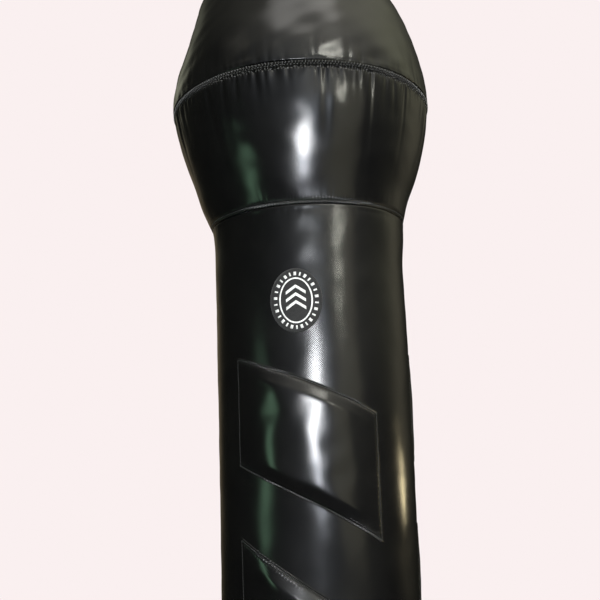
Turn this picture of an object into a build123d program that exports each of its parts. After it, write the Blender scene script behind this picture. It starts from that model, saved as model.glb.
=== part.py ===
from build123d import *
import math
import os

# A limbless grappling and striking dummy: a padded column that widens into a bulb-shaped
# head-and-shoulder zone, hung from a ball-bearing swivel by a carabiner, a ring and four chains.
#
# Frame: the origin is the centre of the swivel's top eye, +Z is up, and -Y is the front.
# Angles round the bag are counted from the front towards +X. Millimetres.

# ---------------------------------------------------------------- driving dimensions
# bag
COLUMN_R = 175.0              # outside radius of the column
COLUMN_LENGTH = 1000.0        # from the waist seam down to the base
WAIST_R = 180.0               # at the waist seam, where the bulb starts
SHOULDER_R = 245.0            # at the shoulder seam, the widest place
SHOULDER_RISE = 224.0         # shoulder seam above the waist seam
CAP_R = 100.0                 # open top of the dome
CAP_RISE = 566.0              # top edge above the waist seam
SKIN = 1.6                    # coated fabric with its hem
FOAM = 20.0                   # foam liner
GAP = 0.4                     # between pieces that lie against each other

# strike pads: three columns round the bag, clear of the zip, and two rows
PAD_TURNS = (0.0, 126.0, -126.0)
PAD_HALF_ANGLE = 41.5
PAD_BULGE = 13.0
PAD_BOW = 10.0                # how far the middle of a slanted edge stands above its chord
# each row: upper left, upper right, lower left, lower right corner below the waist seam
PAD_ROWS = ((246.0, 347.0, 428.0, 555.0), (538.0, 700.0, 725.0, 910.0))

# oval badge
BADGE_ANGLE = -2.0
BADGE_DROP = 161.0
BADGE_WIDTH = 87.0
BADGE_HEIGHT = 107.0
BADGE_T = 0.9

# filling zip at the back
ZIP_TOP = 138.0               # top of its slot, below the waist seam
ZIP_LENGTH = 404.0
ZIP_SLOT = 12.0
ZIP_COIL = 2.8                # width of each coil
ZIP_COIL_T = 2.5
ZIP_TAPE = 30.0
SLIDER_LENGTH = 16.0
PULL_LENGTH = 30.0

# swivel
EYE_BORE_R = 11.0
EYE_R = 22.0
EYE_T = 14.0
NECK_R = 12.0
CAP_HEIGHT = 12.0             # hexagonal cap under the eye
BARREL_R = 23.0
CAVITY_R = 17.0
BALL_R = 3.0
BALL_COUNT = 10
BALL_CIRCLE_R = 13.6
STEM_R = 8.0
STEM_FIT = 0.05               # radial running clearance
STEM_EYE_BORE_R = 9.0
STEM_EYE_R = 18.0
STEM_EYE_T = 8.0
STEM_SHOULDER_R = 11.0
RACE_T = 4.0
RACE_FIT = 0.05               # a washer's clearance to the part that it lies on
NUT_R = 14.0
NUT_T = 10.0

# carabiner, ring, chains
CARABINER_ROD_R = 5.0
CARABINER_HALF_WIDTH = 17.0
CARABINER_STRAIGHT = 50.0
GATE_R = 4.5
GATE_PIN_R = 1.5
GATE_TONGUE_T = 4.0
HINGE_DROP = 18.0             # gate hinge below the carabiner's middle
NOSE_RISE = 19.0              # nose above the carabiner's middle
NOSE_LAP = 5.6                # how far gate and nose lap
RING_R = 32.0
RING_ROD_R = 4.0
LINK_ROD_R = 2.5
LINK_INNER_LENGTH = 35.0
LINK_OUTER_WIDTH = 20.0
LINKS_PER_LEG = 5
DRING_ROD_R = 3.0
DRING_HALF_WIDTH = 19.0
DRING_LENGTH = 24.0           # bar to bow
WEBBING_WIDTH = 30.0
WEBBING_T = 2.5
WEBBING_LIFT = 1.2            # the flat web bridges the round dome
TAB_REACH = 66.0              # how far a tab runs down the dome
RIVET_R = 4.0
RIVET_T = 1.8
RIVET_SIDE = 8.0              # from the tab's middle
HOOP_ROD_R = 4.0
BAR_CLEAR = 8.5               # D-ring bar above the top edge of the dome

# legs: azimuth of the D-ring, and where the top link sits round the bottom of the ring
LEGS = ((45.0, 37.0), (135.0, -37.0), (225.0, -13.0), (315.0, 13.0))


# ---------------------------------------------------------------- helpers
def save(shape, node):
    """Writes one node and says how large it is."""
    export_step(shape, f"parts/{node}.step")
    print(f"{node:24s} {shape.volume / 1000.0:10.2f} cm3")


def offset_profile(points, distance):
    """Moves an (r, z) outline inwards by distance, along its own normals."""
    moved = []
    for i, (r, z) in enumerate(points):
        before = points[max(i - 1, 0)]
        after = points[min(i + 1, len(points) - 1)]
        dr, dz = after[0] - before[0], after[1] - before[1]
        length = math.hypot(dr, dz)
        moved.append((r - distance * dz / length, z + distance * dr / length))
    return moved


def revolved(outer, inner=None):
    """Turns the area between two (r, z) outlines about Z, or from the outer one in to the axis."""
    edges = [Spline([(r, 0, z) for r, z in outer])]
    far = inner if inner else [(0.0, outer[0][1]), (0.0, outer[-1][1])]
    edges.append(Line((outer[-1][0], 0, outer[-1][1]), (far[-1][0], 0, far[-1][1])))
    if inner:
        edges.append(Spline([(r, 0, z) for r, z in reversed(inner)]))
    else:
        edges.append(Line((0, 0, far[-1][1]), (0, 0, far[0][1])))
    edges.append(Line((far[0][0], 0, far[0][1]), (outer[0][0], 0, outer[0][1])))
    return revolve(make_face(Wire(edges)), Axis.Z)


def tube(r_out, r_in, low, high):
    """An upright ring or tube between two heights."""
    body = Pos(0, 0, (low + high) / 2) * Cylinder(r_out, high - low)
    if r_in > 0:
        body -= Pos(0, 0, (low + high) / 2) * Cylinder(r_in, high - low + 2)
    return body


def block(x0, x1, y0, y1, z0, z1):
    """A box given by its lowest and highest corners."""
    centre = Pos((x0 + x1) / 2, (y0 + y1) / 2, (z0 + z1) / 2)
    return centre * Box(x1 - x0, y1 - y0, z1 - z0)


def rod(start, end, radius):
    """A round bar between two points."""
    start, end = Vector(*start), Vector(*end)
    along = end - start
    return Plane(origin=start, z_dir=along) * extrude(Circle(radius), along.length)


def swept_oval(centre, long_dir, across_dir, straight, half_width, rod_r):
    """A closed oval of round bar: two straights joined by two half circles."""
    plane = Plane(origin=centre, x_dir=long_dir, z_dir=Vector(*long_dir).cross(Vector(*across_dir)))
    half = straight / 2
    path = Wire([
        Line((-half, -half_width), (half, -half_width)),
        ThreePointArc((half, -half_width), (half + half_width, 0), (half, half_width)),
        Line((half, half_width), (-half, half_width)),
        ThreePointArc((-half, half_width), (-half - half_width, 0), (-half, -half_width)),
    ])
    section = Plane(origin=(0, -half_width, 0), z_dir=(1, 0, 0)) * Circle(rod_r)
    return plane.location * sweep(section, path)


def front_outline(points_z_high, points_z_low, angles, radius):
    """A face in the XZ plane whose slanted edges follow angles round a cylinder of this radius."""
    across = [radius * math.sin(math.radians(a)) for a in angles]
    top = [(x, 0, z) for x, z in zip(across, points_z_high)]
    low = [(x, 0, z) for x, z in zip(across, points_z_low)]
    return make_face(Wire([
        Spline(top),
        Line(top[-1], low[-1]),
        Spline(list(reversed(low))),
        Line(low[0], top[0]),
    ]))


# ---------------------------------------------------------------- levels worked out from above
bow_drop = CARABINER_HALF_WIDTH - math.sqrt(CARABINER_HALF_WIDTH ** 2 - (STEM_EYE_T / 2) ** 2)
cap_top = -24.0                                       # the swivel's hexagonal cap
cap_bottom = cap_top - CAP_HEIGHT
cavity_floor = -72.0
barrel_bottom = -80.0
ball_z = cavity_floor + RACE_T + BALL_R
upper_race_low = ball_z + BALL_R + GAP
nut_low = upper_race_low + RACE_T
nut_high = nut_low + NUT_T
stem_eye_z = barrel_bottom - 4.0 - STEM_EYE_R
carabiner_top_z = stem_eye_z - STEM_EYE_BORE_R + CARABINER_ROD_R + bow_drop + GAP
carabiner_z = carabiner_top_z - CARABINER_HALF_WIDTH - CARABINER_STRAIGHT / 2
carabiner_low_z = carabiner_z - CARABINER_HALF_WIDTH - CARABINER_STRAIGHT / 2
ring_top_z = carabiner_low_z + CARABINER_ROD_R + RING_ROD_R + GAP
ring_z = ring_top_z - RING_R

link_half = LINK_INNER_LENGTH / 2 + LINK_ROD_R        # centre of a link to its end rod
link_pitch = LINK_INNER_LENGTH - 0.3
link_bow_r = LINK_OUTER_WIDTH / 2 - LINK_ROD_R
first_link = link_half - (RING_ROD_R + LINK_ROD_R + 0.8)
leg_length = first_link + link_pitch * (LINKS_PER_LEG - 1) + link_half - (LINK_ROD_R + DRING_ROD_R + 0.3)
bow_radius = 88.0                                     # D-ring bow from the bag's axis
leg_drop = 145.5                                      # ring rod to D-ring bow, mean of the legs
bow_z = ring_z - RING_R - leg_drop + 1.5
leg_lean = math.asin((bow_radius - 7.0) / leg_length)
bar_radius = bow_radius + DRING_LENGTH * math.sin(leg_lean)
bar_z = bow_z - DRING_LENGTH * math.cos(leg_lean)
waist_z = bar_z - BAR_CLEAR - CAP_RISE
shoulder_z = waist_z + SHOULDER_RISE
top_z = waist_z + CAP_RISE
base_z = waist_z - COLUMN_LENGTH

# outlines as (radius, height), from the bottom up
flare_z = waist_z - 110.0                             # the column is straight below this level
flare_outline = [(COLUMN_R, flare_z), (COLUMN_R + 1.5, waist_z - 50), (WAIST_R, waist_z)]
bulb_outline = [
    (WAIST_R, waist_z), (201, waist_z + 60), (220.5, waist_z + 117),
    (235.5, waist_z + 172), (SHOULDER_R, shoulder_z),
]
dome_outline = [
    (SHOULDER_R, shoulder_z), (238.5, shoulder_z + 62), (217.5, shoulder_z + 136),
    (189, shoulder_z + 214), (141, shoulder_z + 296), (CAP_R, top_z),
]
head_outline = bulb_outline + dome_outline[1:]
seam_index = len(bulb_outline) - 1                    # where the two meet in head_outline


# ---------------------------------------------------------------- swivel, fixed side
def swivel_eye_cap():
    """Top eye with its hexagonal cap and the spigot that screws into the barrel."""
    eye = Rot(90, 0, 0) * Cylinder(EYE_R, EYE_T)
    neck = rod((0, 0, -(EYE_BORE_R + EYE_R) / 2), (0, 0, cap_top), NECK_R)
    hexagon = Pos(0, 0, cap_bottom) * extrude(RegularPolygon(BARREL_R + 2, 6), cap_top - cap_bottom)
    hexagon = chamfer(hexagon.edges().group_by(Axis.Z)[-1], 1.5)
    spigot = tube(CAVITY_R - 0.1, 0, cap_bottom - 8, cap_bottom)
    bore = Rot(90, 0, 0) * Cylinder(EYE_BORE_R, EYE_T + 20)
    return eye + neck + hexagon + spigot - bore


def swivel_barrel():
    """Cup that holds the bearing, with a running hole for the stem in its floor."""
    body = tube(BARREL_R, 0, barrel_bottom, cap_bottom - 0.1)
    body = chamfer(body.edges().group_by(Axis.Z)[0], 2.0)
    body -= tube(CAVITY_R, 0, cavity_floor, cap_bottom + 1)
    return body - tube(STEM_R + STEM_FIT, 0, barrel_bottom - 1, cavity_floor + 1)


def bearing_lower_race():
    """Hardened washer under the balls."""
    return tube(CAVITY_R - 0.2, STEM_R + 1.5, cavity_floor, cavity_floor + RACE_T - RACE_FIT)


def bearing_balls():
    """Ring of balls that carries the whole load."""
    balls = [
        Rot(0, 0, 360.0 * i / BALL_COUNT) * Pos(BALL_CIRCLE_R, 0, ball_z) * Sphere(BALL_R)
        for i in range(BALL_COUNT)
    ]
    return Compound(children=[b.solid() for b in balls])


# ---------------------------------------------------------------- swivel, turning side
def bearing_upper_race():
    """Washer on top of the balls, turning with the stem."""
    return tube(CAVITY_R - 0.5, STEM_R + 0.1, upper_race_low, nut_low - RACE_FIT)


def stem_nut():
    """Lock nut that holds the stem up in the bearing."""
    nut = Pos(0, 0, nut_low) * extrude(RegularPolygon(NUT_R, 6), NUT_T)
    return nut - tube(STEM_R + 0.02, 0, nut_low - 1, nut_high + 1)


def swivel_stem():
    """Stem and lower eye in one forging."""
    shaft = rod((0, 0, stem_eye_z), (0, 0, nut_high + 1), STEM_R)
    shoulder = rod((0, 0, stem_eye_z), (0, 0, barrel_bottom - 2), STEM_SHOULDER_R)
    eye = Pos(0, 0, stem_eye_z) * Rot(90, 0, 0) * Cylinder(STEM_EYE_R, STEM_EYE_T)
    eye = chamfer(eye.edges(), 1.5)
    bore = Pos(0, 0, stem_eye_z) * Rot(90, 0, 0) * Cylinder(STEM_EYE_BORE_R, 40)
    return shaft + shoulder + eye - bore


# ---------------------------------------------------------------- carabiner
gate_y = CARABINER_HALF_WIDTH
hinge_z = carabiner_z - HINGE_DROP
nose_z = carabiner_z + NOSE_RISE
lip_z = nose_z - NOSE_LAP


def carabiner_body():
    """Oval of round bar, open on its rear side where the gate closes it."""
    body = swept_oval((0, 0, carabiner_z), (0, 0, 1), (0, 1, 0), CARABINER_STRAIGHT,
                      CARABINER_HALF_WIDTH, CARABINER_ROD_R)
    low, high = hinge_z, nose_z
    ear = Pos(0, gate_y, hinge_z) * Rot(0, 90, 0) * Cylinder(CARABINER_ROD_R, 4 * CARABINER_ROD_R)
    mouth = block(-10, 10, gate_y - 7, gate_y + 7, low, lip_z) - ear
    lap = block(-10, 10, gate_y - 7, gate_y + 0.2, lip_z - 1, high)
    slot_half = GATE_TONGUE_T / 2 + GAP
    tongue_slot = block(-slot_half, slot_half, gate_y - 7, gate_y + 7, hinge_z - 5.5, hinge_z + 7)
    pin_hole = Pos(0, gate_y, hinge_z) * Rot(0, 90, 0) * Cylinder(GATE_PIN_R + STEM_FIT, 20)
    return body - mouth - lap - tongue_slot - pin_hole


def gate_pin():
    """Rivet that the gate turns on."""
    return Pos(0, gate_y, hinge_z) * Rot(0, 90, 0) * Cylinder(GATE_PIN_R, 2 * CARABINER_ROD_R - 0.6)


def gate():
    """Spring gate: a round bar with a hinge tongue below and a half lap at the nose."""
    barrel_low = hinge_z + 6.5
    bar = rod((0, gate_y, barrel_low), (0, gate_y, nose_z - 0.4), GATE_R)
    bar -= block(-10, 10, gate_y - 0.2, gate_y + 7, lip_z - 0.9, nose_z + 1)
    half = GATE_TONGUE_T / 2
    tongue = block(-half, half, gate_y - GATE_R, gate_y + GATE_R, hinge_z, barrel_low + 1)
    heel = Pos(0, gate_y, hinge_z) * Rot(0, 90, 0) * Cylinder(GATE_R, GATE_TONGUE_T)
    hole = Pos(0, gate_y, hinge_z) * Rot(0, 90, 0) * Cylinder(GATE_PIN_R + STEM_FIT, 20)
    return bar + tongue + heel - hole


# ---------------------------------------------------------------- ring, chains, D-rings
def suspension_ring():
    """Welded ring that gathers the four chains."""
    return Pos(0, 0, ring_z) * Rot(90, 0, 0) * Torus(RING_R, RING_ROD_R)


def leg_points(azimuth, seat):
    """Where a leg leaves the ring, its unit direction, and the D-ring's bow."""
    turn = math.radians(azimuth)
    top = Vector(RING_R * math.sin(math.radians(seat)), 0,
                 ring_z - RING_R * math.cos(math.radians(seat)))
    out = Vector(math.cos(turn), math.sin(turn), 0)
    flat = out * bow_radius - Vector(top.X, top.Y, 0)
    drop = math.sqrt(leg_length ** 2 - flat.length ** 2)
    direction = Vector(flat.X, flat.Y, -drop).normalized()
    return top, direction, top + direction * leg_length


def chain_leg(azimuth, seat):
    """Links hooked through each other, square to the ring above and to the D-ring below."""
    top, along, _ = leg_points(azimuth, seat)
    turn, lean = math.radians(azimuth), math.radians(seat)
    first = along.cross(Vector(math.cos(lean), 0, math.sin(lean))).normalized()
    last = along.cross(Vector(-math.sin(turn), math.cos(turn), 0)).normalized()
    twist = math.degrees(math.atan2(first.cross(last).dot(along), first.dot(last)))
    twist = (twist + 90) % 180 - 90
    links = []
    for i in range(LINKS_PER_LEG):
        centre = top + along * (first_link + link_pitch * i)
        across = first.rotate(Axis((0, 0, 0), along), (90 + twist / (LINKS_PER_LEG - 1)) * i)
        link = swept_oval(centre, along, across, 2 * (link_half - link_bow_r), link_bow_r, LINK_ROD_R)
        links.append(link.solid())
    return Compound(children=links)


def d_ring(azimuth, seat):
    """Straight bar in the webbing loop, bow towards the chain."""
    _, along, bow = leg_points(azimuth, seat)
    turn = math.radians(azimuth)
    bar = Vector(bar_radius * math.cos(turn), bar_radius * math.sin(turn), bar_z)
    side = Vector(-math.sin(turn), math.cos(turn), 0)
    up = (bow - bar).normalized()
    straight = (bow - bar).length - DRING_HALF_WIDTH
    plane = Plane(origin=bar, x_dir=side, z_dir=side.cross(up))
    half = DRING_HALF_WIDTH
    path = Wire([
        Line((half, 0), (half, straight)),
        ThreePointArc((half, straight), (0, straight + half), (-half, straight)),
        Line((-half, straight), (-half, 0)),
    ])
    section = Plane(origin=(half, 0, 0), z_dir=(0, 1, 0)) * Circle(DRING_ROD_R)
    shape = sweep(section, path) + rod((-half, 0, 0), (half, 0, 0), DRING_ROD_R)
    for x in (-half, half):
        shape += Pos(x, 0, 0) * Sphere(DRING_ROD_R)
    return plane.location * shape


def strap_tab(azimuth):
    """Webbing sewn down the dome, doubled back through the D-ring's bar."""
    slope = (dome_outline[-1][0] - dome_outline[-2][0]) / (dome_outline[-1][1] - dome_outline[-2][1])
    tail = dome_outline[1:] + [(CAP_R + slope * 6, top_z + 6)]
    outside = offset_profile(tail, -2 * WEBBING_T - WEBBING_LIFT)
    skin = revolved(outside, offset_profile(tail, -WEBBING_LIFT))
    half = WEBBING_WIDTH / 2
    loop_in = DRING_ROD_R + 0.3
    strip = block(CAP_R - 20, 2 * CAP_R, -half, half, top_z - TAB_REACH, bar_z - loop_in - 0.2)
    bar = Pos(bar_radius, 0, bar_z) * Rot(90, 0, 0)
    loop = bar * Cylinder(loop_in + WEBBING_T, WEBBING_WIDTH) - bar * Cylinder(loop_in, WEBBING_WIDTH + 2)
    return Rot(0, 0, azimuth) * ((skin & strip) + loop)


def tab_rivets():
    """Two rivets through each tab, low on the dome."""
    (r_low, z_low), (r, z), (r_high, z_high) = dome_outline[-3:]
    outward = Vector(z_high - z_low, 0, r_low - r_high).normalized()
    middle = 2 * WEBBING_T + WEBBING_LIFT + 0.1 + RIVET_T / 2
    heads = []
    for azimuth, _ in LEGS:
        for side in (-RIVET_SIDE, RIVET_SIDE):
            place = Plane(origin=Vector(r, side, z), z_dir=outward)
            head = place * (Pos(0, 0, middle) * Cylinder(RIVET_R, RIVET_T))
            heads.append((Rot(0, 0, azimuth) * head).solid())
    return Compound(children=heads)


def top_hoop():
    """Steel ring inside the top edge, which keeps the dome round under load."""
    return Pos(0, 0, top_z - 10) * Torus(CAP_R - 10, HOOP_ROD_R)


# ---------------------------------------------------------------- skins
def top_cap():
    """Disc that closes the top."""
    return tube(CAP_R - SKIN - GAP, 0, top_z - 2.5, top_z)


def cap_binding():
    """Flat binding that covers the disc's sewn edge."""
    return tube(CAP_R - 3, CAP_R - 14, top_z + 0.1, top_z + 1.8)


def dome_panel():
    """Upper skin of the head, from the shoulder seam to the open top."""
    inside = offset_profile(head_outline, SKIN)[seam_index:]
    return revolved(dome_outline, inside) & tube(2 * SHOULDER_R, 0, shoulder_z + 0.1, top_z)


def bulb_panel():
    """Lower skin of the head, between the shoulder and waist seams."""
    inside = offset_profile(head_outline, SKIN)[:seam_index + 1]
    skin = revolved(bulb_outline, inside)
    return skin & tube(2 * SHOULDER_R, 0, waist_z + 0.1, shoulder_z - 0.1)


def body_panel():
    """Column skin with the slot for the filling zip at the back."""
    flare = revolved(flare_outline, [(r - SKIN, z) for r, z in flare_outline])
    skin = tube(COLUMN_R, COLUMN_R - SKIN, base_z, flare_z) + flare
    half = ZIP_SLOT / 2
    return skin - block(-half, half, COLUMN_R - 15, COLUMN_R + 15,
                        waist_z - ZIP_TOP - ZIP_LENGTH, waist_z - ZIP_TOP)


def bottom_panel():
    """Base disc."""
    return tube(COLUMN_R - SKIN - GAP, 0, base_z - 1, base_z + 1.5)


def bottom_binding():
    """Binding round the base edge."""
    return tube(COLUMN_R + 1.2, COLUMN_R + 0.1, base_z - 1, base_z + 24)


# ---------------------------------------------------------------- filling
liner_r = COLUMN_R - SKIN - 1.8
core_r = liner_r - FOAM - GAP


def body_foam():
    """Foam liner of the column."""
    return tube(liner_r, liner_r - FOAM, base_z + 3, waist_z - 8)


def head_foam():
    """Foam liner of the bulb and dome."""
    inside = offset_profile(head_outline, SKIN + 1.0)[:-1]
    deep = offset_profile(head_outline, SKIN + 1.0 + FOAM)[:-1]
    return revolved(inside, deep) & tube(SHOULDER_R, 0, waist_z - 6, top_z - 30)


def textile_fill():
    """Packed textile shreds, in one piece from the base to the dome."""
    column = tube(core_r, 0, base_z + 3, waist_z + 12)
    head = offset_profile(head_outline, SKIN + 1.6 + FOAM)[:-1]
    return column + revolved(head)


# ---------------------------------------------------------------- strike pads and badge
def pad_outline(row, inset):
    """Slanted four-sided outline of a pad, moved in by inset on every side."""
    upper_left, upper_right, lower_left, lower_right = PAD_ROWS[row]
    edge = PAD_HALF_ANGLE - math.degrees(inset / COLUMN_R)
    angles = [edge * k for k in (-1.0, -0.5, 0.0, 0.5, 1.0)]
    high, low = [], []
    for angle in angles:
        share = (angle / PAD_HALF_ANGLE + 1) / 2
        bow = PAD_BOW * (1 - (angle / PAD_HALF_ANGLE) ** 2)
        high.append(waist_z - upper_left + (upper_left - upper_right) * share + bow - 1.3 * inset)
        low.append(waist_z - lower_left + (lower_left - lower_right) * share + bow + 1.3 * inset)
    return front_outline(high, low, angles, COLUMN_R)


def pad_shape(row, column, inset, r_in, r_out):
    """A curved slab on the front of the column, turned to its place."""
    prism = extrude(pad_outline(row, inset), 2 * COLUMN_R, dir=(0, -1, 0))
    ring = tube(r_out, r_in, base_z + 50, waist_z - 100)
    return Rot(0, 0, PAD_TURNS[column]) * (ring & prism)


def pad_foam(row, column):
    return pad_shape(row, column, 8.0, COLUMN_R + GAP, COLUMN_R + PAD_BULGE - SKIN - GAP)


def pad_cover(row, column):
    """Skin over the pad's foam, open towards the column."""
    outside = pad_shape(row, column, 0.0, COLUMN_R + 0.1, COLUMN_R + PAD_BULGE)
    return outside - pad_shape(row, column, 7.0, COLUMN_R - 1, COLUMN_R + PAD_BULGE - SKIN)


def badge():
    """Oval sewn badge, bent round the front of the column."""
    oval = Plane(origin=(0, 0, waist_z - BADGE_DROP), x_dir=(1, 0, 0), z_dir=(0, -1, 0))
    prism = oval * extrude(Ellipse(BADGE_WIDTH / 2, BADGE_HEIGHT / 2), 2 * COLUMN_R)
    ring = tube(COLUMN_R + 0.1 + BADGE_T, COLUMN_R + 0.1, waist_z - 260, waist_z - 60)
    return Rot(0, 0, BADGE_ANGLE) * (ring & prism)


# ---------------------------------------------------------------- zip
zip_high = waist_z - ZIP_TOP
zip_low = zip_high - ZIP_LENGTH
tape_r = COLUMN_R - SKIN - 0.15
coil_y = tape_r + 0.1
coil_top = coil_y + ZIP_COIL_T
slider_high = zip_high - 6.0
slider_low = slider_high - SLIDER_LENGTH
plate_y = coil_top + GAP
bar_y = plate_y + 1.5 + 0.3 + 2.2
bail_z = slider_high - 9.0


def zipper_tape():
    """Two woven tapes sewn behind the slot."""
    half = ZIP_TAPE / 2
    ring = tube(tape_r, tape_r - 1.1, zip_low - 10, zip_high + 10)
    sides = [(-half, -0.2), (0.2, half)]
    tapes = [ring & block(a, b, COLUMN_R - 20, COLUMN_R + 5, zip_low - 9, zip_high + 9) for a, b in sides]
    return Compound(children=[t.solid() for t in tapes])


def zipper_coils():
    """The two coils, closed against each other."""
    low, high = zip_low + 4, zip_high - 4
    coils = [block(a, a + ZIP_COIL, coil_y, coil_top, low, high) for a in (-ZIP_COIL - 0.2, 0.2)]
    return Compound(children=[c.solid() for c in coils])


def zipper_stops():
    """Crimped stops at both ends of the coils."""
    half = ZIP_COIL + 0.2
    ends = ((zip_low + 0.5, zip_low + 3.5), (zip_high - 3.5, zip_high - 0.5))
    return Compound(children=[block(-half, half, coil_y, coil_top, a, b).solid() for a, b in ends])


def zipper_end_patches():
    """Sewn patches over both ends of the slot."""
    ring = tube(COLUMN_R + 1.2, COLUMN_R + 0.1, zip_low - 40, zip_high + 40)
    spans = ((zip_low - 28, zip_low + 0.2), (zip_high - 0.2, zip_high + 25))
    patches = [ring & block(-22, 22, COLUMN_R - 20, COLUMN_R + 5, a, b) for a, b in spans]
    return Compound(children=[p.solid() for p in patches])


def zip_slider():
    """Slider plate with side flanges and the bail that carries the pull."""
    plate = block(-5.5, 5.5, plate_y, plate_y + 1.5, slider_low, slider_high)
    slider = fillet(plate.edges().filter_by(Axis.Y), 2.5)
    for side in (-1, 1):
        a, b = sorted((side * (ZIP_COIL + 0.6), side * 5.5))
        slider += block(a, b, coil_y + 0.6, plate_y + 0.5, slider_low + 3, slider_high - 3)
        a, b = sorted((side * 2.4, side * 4.0))
        slider += block(a, b, plate_y + 1, bar_y + 1.1, bail_z - 1.5, bail_z + 1.5)
    return slider + rod((-3.5, bar_y, bail_z), (3.5, bar_y, bail_z), 1.1)


def zip_pull():
    """Pull that hangs from the bail."""
    eye = Pos(0, bar_y, bail_z) * Rot(0, 90, 0) * Cylinder(2.2, 4.0)
    stalk = block(-2, 2, bar_y - 0.8, bar_y + 0.8, bail_z - 5, bail_z)
    tab = block(-4.5, 4.5, bar_y - 0.8, bar_y + 0.8, bail_z - PULL_LENGTH, bail_z - 4.5)
    tab = fillet(tab.edges().filter_by(Axis.Y), 2.0)
    hole = Pos(0, bar_y, bail_z) * Rot(0, 90, 0) * Cylinder(1.1 + STEM_FIT, 20)
    return eye + stalk + tab - hole


# ---------------------------------------------------------------- write every node
os.makedirs("parts", exist_ok=True)

single_nodes = (
    swivel_eye_cap, swivel_barrel, bearing_lower_race, bearing_balls,
    bearing_upper_race, stem_nut, swivel_stem,
    carabiner_body, gate_pin, gate, suspension_ring, tab_rivets, top_hoop,
    top_cap, cap_binding, dome_panel, bulb_panel, body_panel, bottom_panel, bottom_binding,
    body_foam, head_foam, textile_fill, badge,
    zipper_tape, zipper_coils, zipper_stops, zipper_end_patches, zip_slider, zip_pull,
)
for make in single_nodes:
    save(make(), make.__name__)

for number, (azimuth, seat) in enumerate(LEGS, start=1):
    save(chain_leg(azimuth, seat), f"chain_leg_{number}")
    save(d_ring(azimuth, seat), f"d_ring_{number}")
    save(strap_tab(azimuth), f"strap_tab_{number}")

for row in range(len(PAD_ROWS)):
    for column in range(len(PAD_TURNS)):
        number = row * len(PAD_TURNS) + column + 1
        save(pad_cover(row, column), f"pad_cover_{number}")
        save(pad_foam(row, column), f"pad_foam_{number}")

print(f"waist seam {waist_z:.1f}, top edge {top_z:.1f}, base {base_z:.1f}")
print(f"carabiner axis {carabiner_top_z:.2f}, ring axis {ring_top_z:.2f}, gate ({gate_y}, {hinge_z:.2f})")
print(f"zip pull axis ({bar_y:.2f}, {bail_z:.2f}), slider travel {slider_low - zip_low - 4:.1f}")
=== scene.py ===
import math
from contextlib import contextmanager

import bmesh
import bpy
import numpy as np
from mathutils import Matrix, Vector


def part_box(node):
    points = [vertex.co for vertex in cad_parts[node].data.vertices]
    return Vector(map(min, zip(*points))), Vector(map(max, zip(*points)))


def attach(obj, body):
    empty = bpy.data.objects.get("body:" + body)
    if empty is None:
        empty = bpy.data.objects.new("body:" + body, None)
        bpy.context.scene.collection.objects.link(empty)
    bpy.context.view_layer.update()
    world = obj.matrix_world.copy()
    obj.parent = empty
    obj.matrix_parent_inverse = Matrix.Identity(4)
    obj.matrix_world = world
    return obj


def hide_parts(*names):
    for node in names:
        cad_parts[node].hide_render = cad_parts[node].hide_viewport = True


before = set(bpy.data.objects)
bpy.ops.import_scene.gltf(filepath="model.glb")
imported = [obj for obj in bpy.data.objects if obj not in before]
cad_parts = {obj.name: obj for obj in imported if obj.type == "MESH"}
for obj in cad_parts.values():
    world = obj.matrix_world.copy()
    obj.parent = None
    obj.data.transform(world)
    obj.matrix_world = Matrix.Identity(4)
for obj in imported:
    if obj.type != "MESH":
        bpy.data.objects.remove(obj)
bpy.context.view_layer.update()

# A limbless hanging grappling dummy. Metres, in the CAD frame: +Z up, -Y the front.
# Angles round the bag count from the front towards +X, heights count from the waist seam.

# ---------------------------------------------------------------- places, from the frame
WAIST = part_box("bulb_panel")[0].z
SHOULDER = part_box("dome_panel")[0].z - WAIST
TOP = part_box("dome_panel")[1].z - WAIST
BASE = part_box("body_panel")[0].z - WAIST
COLUMN_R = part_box("bottom_panel")[1].x + 0.002
CAP_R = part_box("cap_binding")[1].x + 0.003
WIDEST_R = 0.245
SKIN = 0.0016
FOAM = 0.020
SLOT_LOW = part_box("zipper_stops")[0].z - 0.0005 - WAIST
SLOT_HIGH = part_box("zipper_stops")[1].z + 0.0005 - WAIST

# ---------------------------------------------------------------- driving dimensions
CAMERA_TURN = math.radians(6.5)      # the camera stands this far round from the front
# where packing makes the bag less round than the CAD skins: height above the waist seam,
# half height, change of radius all round, and how much further out the right side lies
SAGS = (
    (-0.750, 0.250, -0.002, -0.0040),    # slimmer, and drawn to the left, along the pads
    (-0.030, 0.035, 0.0, 0.0022),        # fuller on the right just below the waist seam
    (0.045, 0.028, 0.0, -0.0028),        # pinched on the right just above it
    (0.250, 0.110, 0.0, -0.0038),        # widest part, drawn to the left
    (0.445, 0.050, 0.0, -0.0045),        # flatter on the right, high on the dome
    (0.475, 0.030, 0.003, 0.0),          # and a little fuller all round above that
)
SCRIM_PITCH = 0.0026                 # the coating's scrim runs at 45 degrees
STITCH_PITCH = 0.0055
STITCH_LENGTH = 0.0042
HOLE_REACH = 0.0042                  # how far a stitch pulls in the fabric round it
THREAD_R = 0.00048
SHOULDER_STITCH = -0.0065            # below the shoulder seam
HEM_MIDDLE = SHOULDER - 0.0033
WAIST_STITCH = 0.0050                # above the waist seam
DISC_THICK = 0.0018
PAD_TURNS = (0.0, 126.0, -126.0)
PAD_ROWS = 2
PAD_BULGE = 0.0115
PAD_BOW = 0.010
PAD_BAND = 0.025                     # sloping band along the slanted edges
PAD_EASE = 0.090                     # gentler rise from the upright edges
PAD_HEM = 0.0035                     # stitch line inside a pad's edge
PAD_EDGE = 0.0011                    # thickness of the folded cloth at the edge


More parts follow.
